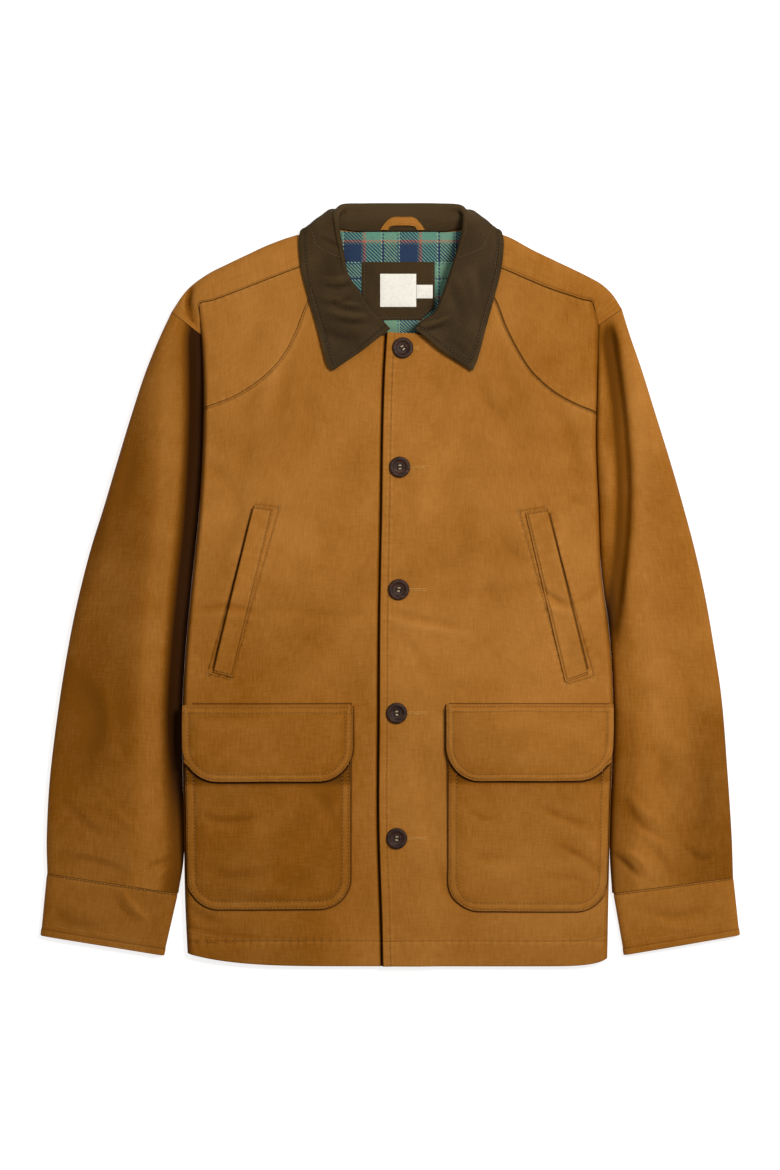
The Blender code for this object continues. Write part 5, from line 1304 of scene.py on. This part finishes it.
for side in SIGN:
    flap = _, _, bottom, top, _ = POCKET_FLAP[side]
    base, out, up, over, free, _ = front_cover(side, PATCH_POCKET[side], 3.2, (0, 2, 8))
    x, u, calm = base[..., 0], base[..., 1], ease(free / 26)
    low = base + out * (0.05 + bellow(over) * ease(up / 0.2))[..., None]
    press = double_row(free, *POCKET_ROWS) + 0.15 * np.sin(over * 31 + 2 * np.sin(up * 17)) * np.exp(-free / 14)
    press = press - calm * (0.9 * rumple(x * 1.3 + 150, u) + 0.8)
    for *points, half_width, deep in COVER_CREASES[side]:
        press = press + deep * crease(through(points, 18), x, u, half_width) * ease((calm - 0.05) * 3)
    thick = CLOTH * (0.2 + 1.1 * rounding(free, 1.0)) - press
    # Painted shade in the low relief and a painted shadow below the flap's lower edge; the third line is a painted
    # shadow round the flap's outline.
    shade = painted_relief_shade(-press) + 0.08 * (1 - ease((free - 7) / 2)) + COVER_SHADE[side]
    shade = shade - 0.35 * (1 - ease((bottom - u + 1) / 7.0))
    under_flap = cover_distance(side, flap, edge_of(side, u)[0] - SIGN[side] * x, u)
    rows = (*(free - row for row in POCKET_ROWS), (under_flap - 0.8) * 0.6)
    sheet_piece("pocket_" + side, "patch_pocket_" + side, low + out * thick[..., None], low, (0.167, 0.197), 0.0325,
                ["front_" + side], shade=shade, sewn_rows=rows)
    base, out, up, over, free, from_top = front_cover(side, flap, 3.0, (0, 2, 7, 69, 74, 76))
    x, u, rim = base[..., 0], base[..., 1], np.minimum(free, from_top)
    mouth = (PATCH_POCKET[side][3] + 1.5 - bottom) / (top - bottom)
    lift = (bellow(over) + CLOTH * 1.35 + LAY * 3.5) * (1 - ease((up - mouth) / (1 - mouth)))
    low = base + out * (0.1 + lift)[..., None]
    press = double_row(free, *FLAP_ROWS) + double_row(from_top, *FLAP_ROWS)
    press = press + 0.12 * np.sin(over * 43 + 3 * np.sin(up * 9)) * np.exp(-free / 12)
    press = press - ease(rim / 24) * (0.8 * rumple(x * 1.2 - 90, u) + 0.6)
    thick = CLOTH * (0.2 + 1.1 * rounding(rim, 1.0)) - press
    # Painted shade in the low relief; the border is drawn a little lighter.
    shade = painted_relief_shade(-press) + 0.1 * (1 - ease((rim - 6) / 2)) + COVER_SHADE[side] * 0.8
    sheet_piece("flap_" + side, "pocket_flap_" + side, low + out * thick[..., None], low, (0.169, 0.085), 0.0142,
                ["front_" + side, "pocket_" + side], shade=shade, sewn_rows=[rim - row for row in FLAP_ROWS])


# ---- Chest pocket welts ----
# A slanting welt closes each chest pocket. It is folded along its open outer edge, which stands off
# the front, and sewn down on the other three sides.
WELT_GAPE, WELT_WIDE, WELT_LONG = 2.4, 20.5, 169.0
for side in SIGN:
    first, second, third, fourth = mirrored(side, WELT[side])
    s, t = np.meshgrid(spaced(WELT_WIDE, 1.2, 0.4, (0, 2, 18.5, WELT_WIDE), 1.6),
                       spaced(WELT_LONG, 2.6, 0.5, (0, 2, 167, WELT_LONG), 2.0))
    across, down = s[..., None], t[..., None]
    plan = (first * (1 - across) + second * across) * (1 - down) + (fourth * (1 - across) + third * across) * down
    x, u = plan[..., 0], plan[..., 1]
    low = front_height(side, x, u) + 0.05 + WELT_GAPE * ease((s - 0.3) / 0.7) * ease(to_end(t) / 0.15)
    rim = np.minimum(to_end(s) * WELT_WIDE, to_end(t) * WELT_LONG)
    sewn_rim = np.minimum(s * WELT_WIDE, to_end(t) * WELT_LONG) - 2.0
    press = 0.5 * bell(sewn_rim, 0.8) + 0.12 * np.sin(t * 60 + 2 * np.sin(t * 23)) * (1 - s)
    thick = CLOTH * (0.2 + rounding(rim, 1.1)) - press
    # Painted shade in the low relief and the folds, and a painted shadow along the open edge, which stands off the
    # front.
    shade = painted_relief_shade(-press) + body_shade(x, u) - 0.6 * ease((s - 0.93) / 0.07)
    sheet_piece("welt_" + side, "chest_welt_" + side, np.dstack([plan, low + thick]), np.dstack([plan, low]),
                (0.021, 0.172), None, ["front_" + side], shade=shade, sewn_rows=(sewn_rim,))


# ---- Stitching ----
# Lockstitch in tan polyester along every edge, at 3.6 mm a stitch; dark thread on the collar and the
# neck patch. Each stitch is a short bent cord lying on the cloth, its ends sunk into it.
STITCH, THREAD_RADIUS = 3.6, 0.34


def thread_material(name, light, dark):
    """Twisted thread: a tone that changes a little along it."""
    made, tree, shader, spot, _ = new_material(name)
    twist = node(tree, "TexNoise", {"Vector": spot, "Scale": 700, "Detail": 1})
    joined(tree, shader, {"Base Color": node(tree, "ValToRGB", {"Fac": twist}, stops=[(0.3, dark), (0.7, light)]),
                          "Roughness": 0.6, "Specular IOR Level": 0.3})
    return made


def cords(name, runs, radius, arch, finish, rings=5, sides=5):
    """A bent cord for each pair of points: its middle line rises by `arch` mm in a half sine, its
    radius narrows to the ends like half an ellipse."""
    starts, ends = (np.concatenate([run[k] for run in runs])[:, None, None] for k in (0, 1))
    t = np.linspace(0, 1, rings)[:, None, None]
    angle = np.linspace(0, 2 * math.pi, sides, endpoint=False)[:, None]
    direction = (ends - starts) / np.maximum(size_of(ends - starts, True), 1e-9)
    side = np.cross(direction, [0, 0, 1.0])
    side /= np.maximum(size_of(side, True), 1e-9)
    up = np.cross(side, direction)
    points = starts + (ends - starts) * t + up * (arch * np.sin(math.pi * t) - 0.6 * radius)
    swell = radius * np.sqrt(1 - (2 * t - 1) ** 2 * 0.9)
    points = points + swell * (np.cos(angle) * side + np.sin(angle) * up)
    ring = np.arange(rings * sides).reshape(rings, sides)
    turned = np.roll(ring, -1, axis=1)
    quads = np.stack([ring[:-1], turned[:-1], turned[1:], ring[1:]], axis=-1).reshape(-1, 4)
    caps = np.stack([ring[0][::-1], ring[-1]])
    offset = np.arange(len(starts))[:, None, None] * rings * sides
    new_piece(name, points.reshape(-1, 3), [(part + offset).reshape(-1, part.shape[1]) for part in (quads, caps)],
              finish)


def laid(on, *ends):
    """The plan points of both ends of each stitch, raised onto the named pieces."""
    return [np.column_stack([points, height_on(on, *points.T)]) for points in ends]


def stitched(lines, on, pitch=STITCH, length=3.0):
    """Start and end points of the stitches along plan lines, laid on the named pieces."""
    starts, ends = [], []
    for line in lines:
        total = running(line)[-1]
        count = max(int(total / pitch), 1)
        at, half = (np.arange(count) + 0.5) / count, length / 2 / total
        starts.append(along(line, at - half))
        ends.append(along(line, at + half))
    return laid(on, np.concatenate(starts), np.concatenate(ends))


def cross_stitched(line, on, pitch, width):
    """Start and end points of stitches across a plan line, as in a bartack or a buttonhole."""
    fine = along(line, np.linspace(0, 1, max(int(running(line)[-1] / pitch), 3)))
    return laid(on, beside(fine, -width / 2), beside(fine, width / 2))


def cover_edge(side, size, inset, across_top=False):
    """The outline of a pocket or flap, moved in: down one side, round the bottom and up the other."""
    gap, far, bottom, top, radius = size
    width = edge_of(side, (bottom + top) / 2)[0] - far - gap
    path = [(1.5, top - inset), (width - 1.5, top - inset)]
    if not across_top:
        turn, r = np.radians(np.linspace(0, 90, 14)), radius - inset
        first = np.stack([radius - r * np.cos(turn), bottom + radius - r * np.sin(turn)], axis=1)
        path = np.concatenate([[(inset, top - 1.0)], first, first[::-1] * [-1, 1] + [width, 0],
                               [(width - inset, top - 1.0)]])
    across, u = along(path, np.linspace(0, 1, 160)).T
    edge = edge_of(side, u)[0]
    return mirrored(side, np.stack([edge - gap - (edge - far - gap) * across / width, u], axis=1))


# Polyester thread, twisted: it gives the eye small bright beads on the tan cloth and dull ones on the
# dark brown.
tan_thread = thread_material("tan polyester thread", "#b07c36", "#8c5c20")
dark_thread = thread_material("dark brown thread", "#5d4c3b", "#41342a")
runs = []
for side in SIGN:
    front, pocket, flap, welt, cuff = (kind + side for kind in ("front_", "pocket_", "flap_", "welt_", "cuff_"))
    runs.append(stitched(STITCHED[side][:1], [front]))
    runs.append(stitched([HEM_STITCH[side][4 if side == "left" else 2:]], [front]))
    shoulder = shoulder_line(side, 0.4, ARMHOLE_ROW, 60)[1]
    runs.append(stitched([beside(shoulder, SIGN[side] * -2.0)], ["back", "yoke_" + side]))
    for inset in POCKET_ROWS:
        runs.append(stitched([cover_edge(side, PATCH_POCKET[side], inset)], [pocket]))
    for inset in FLAP_ROWS:
        runs.append(stitched([cover_edge(side, POCKET_FLAP[side], inset, top) for top in (False, True)], [flap]))
    inner_line = about_middle(mirrored(side, WELT[side]), [0.88, 0.976])
    for line, on in ((welt_frame[side], front), (inner_line, welt)):
        runs.append(stitched([line[pair] for pair in ([1, 0], [0, 3], [3, 2])], [on]))
    flap_top = cover_edge(side, POCKET_FLAP[side], 4.0, across_top=True)
    tacks = [(spot, 3.5, [front, welt]) for spot in welt_frame[side][:4]] + [
        (spot, 4.0, [flap]) for spot in (flap_top[2], flap_top[-3])]
    for spot, half, on in tacks:
        runs.append(cross_stitched(spot + np.array([[0, -half], [0, half]]), on, 0.7, 2.2))
    rows = (1, 4, 28) if side == "right" else (1, 28)
    runs.append(stitched([grids[cuff][row, 6:64, :2] for row in rows], [cuff]))
runs.append(stitched([placket_line[1:-1]], ["front_left"]))
loop_lines = [(outside * share + inside * (1 - share))[6:-6] for share in (0.8, 0.2)]
runs.append(stitched(loop_lines, ["hanger_loop"], pitch=2.6, length=2.1))
cords("tan_stitching", runs, THREAD_RADIUS, 0.12, tan_thread)

leaf = collar_top[np.arange(len(collar_top)), np.abs(from_edge - COLLAR_STITCH).argmin(axis=1), :2]
collar_lines = [leaf[4:132], leaf[-132:-4], collar_top[4, 30:, :2], collar_top[-5, 30:, :2]]
patch_line = [(-36, 703.5), (-36.2, 659), (-24.4, 648.4), (19.3, 648.4), (31, 659), (31.5, 703.5)]
cords("dark_stitching", [stitched(collar_lines, ["collar"]), stitched([patch_line], ["neck_patch"])],
      THREAD_RADIUS, 0.1, dark_thread)


# ---- Buttonholes ----
# A worked slit of tan thread for each button, 26 mm long with a round eyelet at its far end. The
# button covers the rest of it.
BUTTON_SPOTS = [(2.0, 617.3), (-1.0, 498.5), (-2.0, 376.5), (-4.0, 253.3), (-4.0, 128.4)]
EYELET_RADIUS = 1.45
holes, turn = [], np.linspace(-2.6, 2.6, 15)
for x, u in BUTTON_SPOTS:
    far = 16.5 if u > 600 else 24.5
    for shift in (-0.85, 0.85):
        holes.append(cross_stitched([(x + 4, u + shift), (far - 1.5, u + shift)], ["front_left"], 0.62, 1.5))
    eyelet = np.stack([far + EYELET_RADIUS * np.cos(turn), u + EYELET_RADIUS * np.sin(turn)], axis=1)
    holes.append(cross_stitched(eyelet, ["front_left"], 0.55, 1.3))
cords("worked_buttonholes", holes, 0.45, 0.5, thread_material("buttonhole thread", "#cc9748", "#a87431"))


# ---- The buttons ----
# Five dark brown four-hole buttons, 21 mm across, turned with a broad rounded rim and a dished middle,
# mottled like horn. Each is sewn on with two bars of light thread.
BUTTON_ACROSS, BUTTON_THICK = 21.0, 3.6
HOLE_RADIUS, HOLE_CIRCLE = 1.1, 2.3
BUTTON_TURNS = (0.5, 0.05, -0.2, 0.1, -0.05)
BUTTON_PROFILE = [  # distance from the middle in mm, share of the thickness
    (0, 0.56), (3.8, 0.58), (5.6, 0.66), (7.4, 0.97), (8.6, 1.0), (9.6, 0.93), (10.2, 0.75), (10.5, 0.5)]


def horn():
    """Dark horn-like plastic: soft streaks of two browns, a satin polish with fine scratches."""
    made, tree, shader, spot, _ = new_material("dark brown horn button")
    stretched = node(tree, "Mapping", {"Vector": spot, "Rotation": (0, 0, 0.6), "Scale": (90, 320, 200)})
    streaks = node(tree, "TexNoise", {"Vector": stretched, "Scale": 1, "Detail": 4, "Distortion": 1.2})
    scratches = node(tree, "TexNoise", {"Vector": spot, "Scale": 1500})
    joined(tree, shader, {
        "Base Color": node(tree, "ValToRGB", {"Fac": streaks}, stops=[(0.35, "#22130d"), (0.7, "#442a1d")]),
        "Roughness": node(tree, "MapRange", {"Value": scratches, 3: 0.5, 4: 0.66}), "Specular IOR Level": 0.22})
    return made


def button_grids():
    """The two faces of a turned disc. The upper one's height is a smooth curve through its profile,
    less a smooth step down inside each of its four holes; the lower one rises to the rim."""
    half = BUTTON_ACROSS / 2
    radius = np.concatenate([np.linspace(0.02, 4.2, 18), np.linspace(4.2, half * 0.9, 20)[1:],
                             half - 1.05 * (1 - np.sin(np.radians(np.linspace(10, 90, 7))))])[:, None]
    angle = np.linspace(0, 2 * math.pi, 72, endpoint=False)
    x, y = radius * np.cos(angle), radius * np.sin(angle)
    z = curve(BUTTON_PROFILE, radius[:, 0]) * BUTTON_THICK + 0 * x
    for turn in np.radians([45, 135, 225, 315]):
        away = np.hypot(x - HOLE_CIRCLE * np.cos(turn), y - HOLE_CIRCLE * np.sin(turn))
        z = z - 1.7 * (1 - ease((away - HOLE_RADIUS + 0.25) / 0.4))
    low = 0.5 * BUTTON_THICK * np.clip((radius - 7.3) / 3.2, 0, 1) ** 2 + 0 * x
    return np.dstack([x, y, z]), np.dstack([x * 0.96, y * 0.96, low])


# Horn-like plastic: it gives the eye a nearly black brown with a satin gleam on the rim.
horn_brown = horn()
sewing_thread = thread_material("light button thread", "#c6b492", "#9d8a69")
bars = ([], [])
ring = np.radians(np.arange(0, 360, 30))
for number, ((x, u), turn) in enumerate(zip(BUTTON_SPOTS, BUTTON_TURNS), 1):
    below = height_on(["front_left", "front_right"], x + 6.3 * np.cos(ring), u + 6.3 * np.sin(ring)).max() + 0.2
    spin = np.array([[math.cos(turn), math.sin(turn), 0], [-math.sin(turn), math.cos(turn), 0], [0, 0, 1.0]])
    top, low = (grid @ spin + [x, u, below] for grid in button_grids())
    name = f"button_{number}"
    pieces[name] = wall("horn_" + name, top, low, horn_brown, ring=True)
    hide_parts(name)
    for y in (-2.08, -1.63, -1.18, 1.18, 1.63, 2.08):
        for end, way in zip(bars, (-1.75, 1.75)):
            end.append(np.array([way, y, 0.6 * BUTTON_THICK]) @ spin + [x, u, below])
cords("button_thread", [bars], 0.27, 0.35, sewing_thread, rings=9, sides=6)
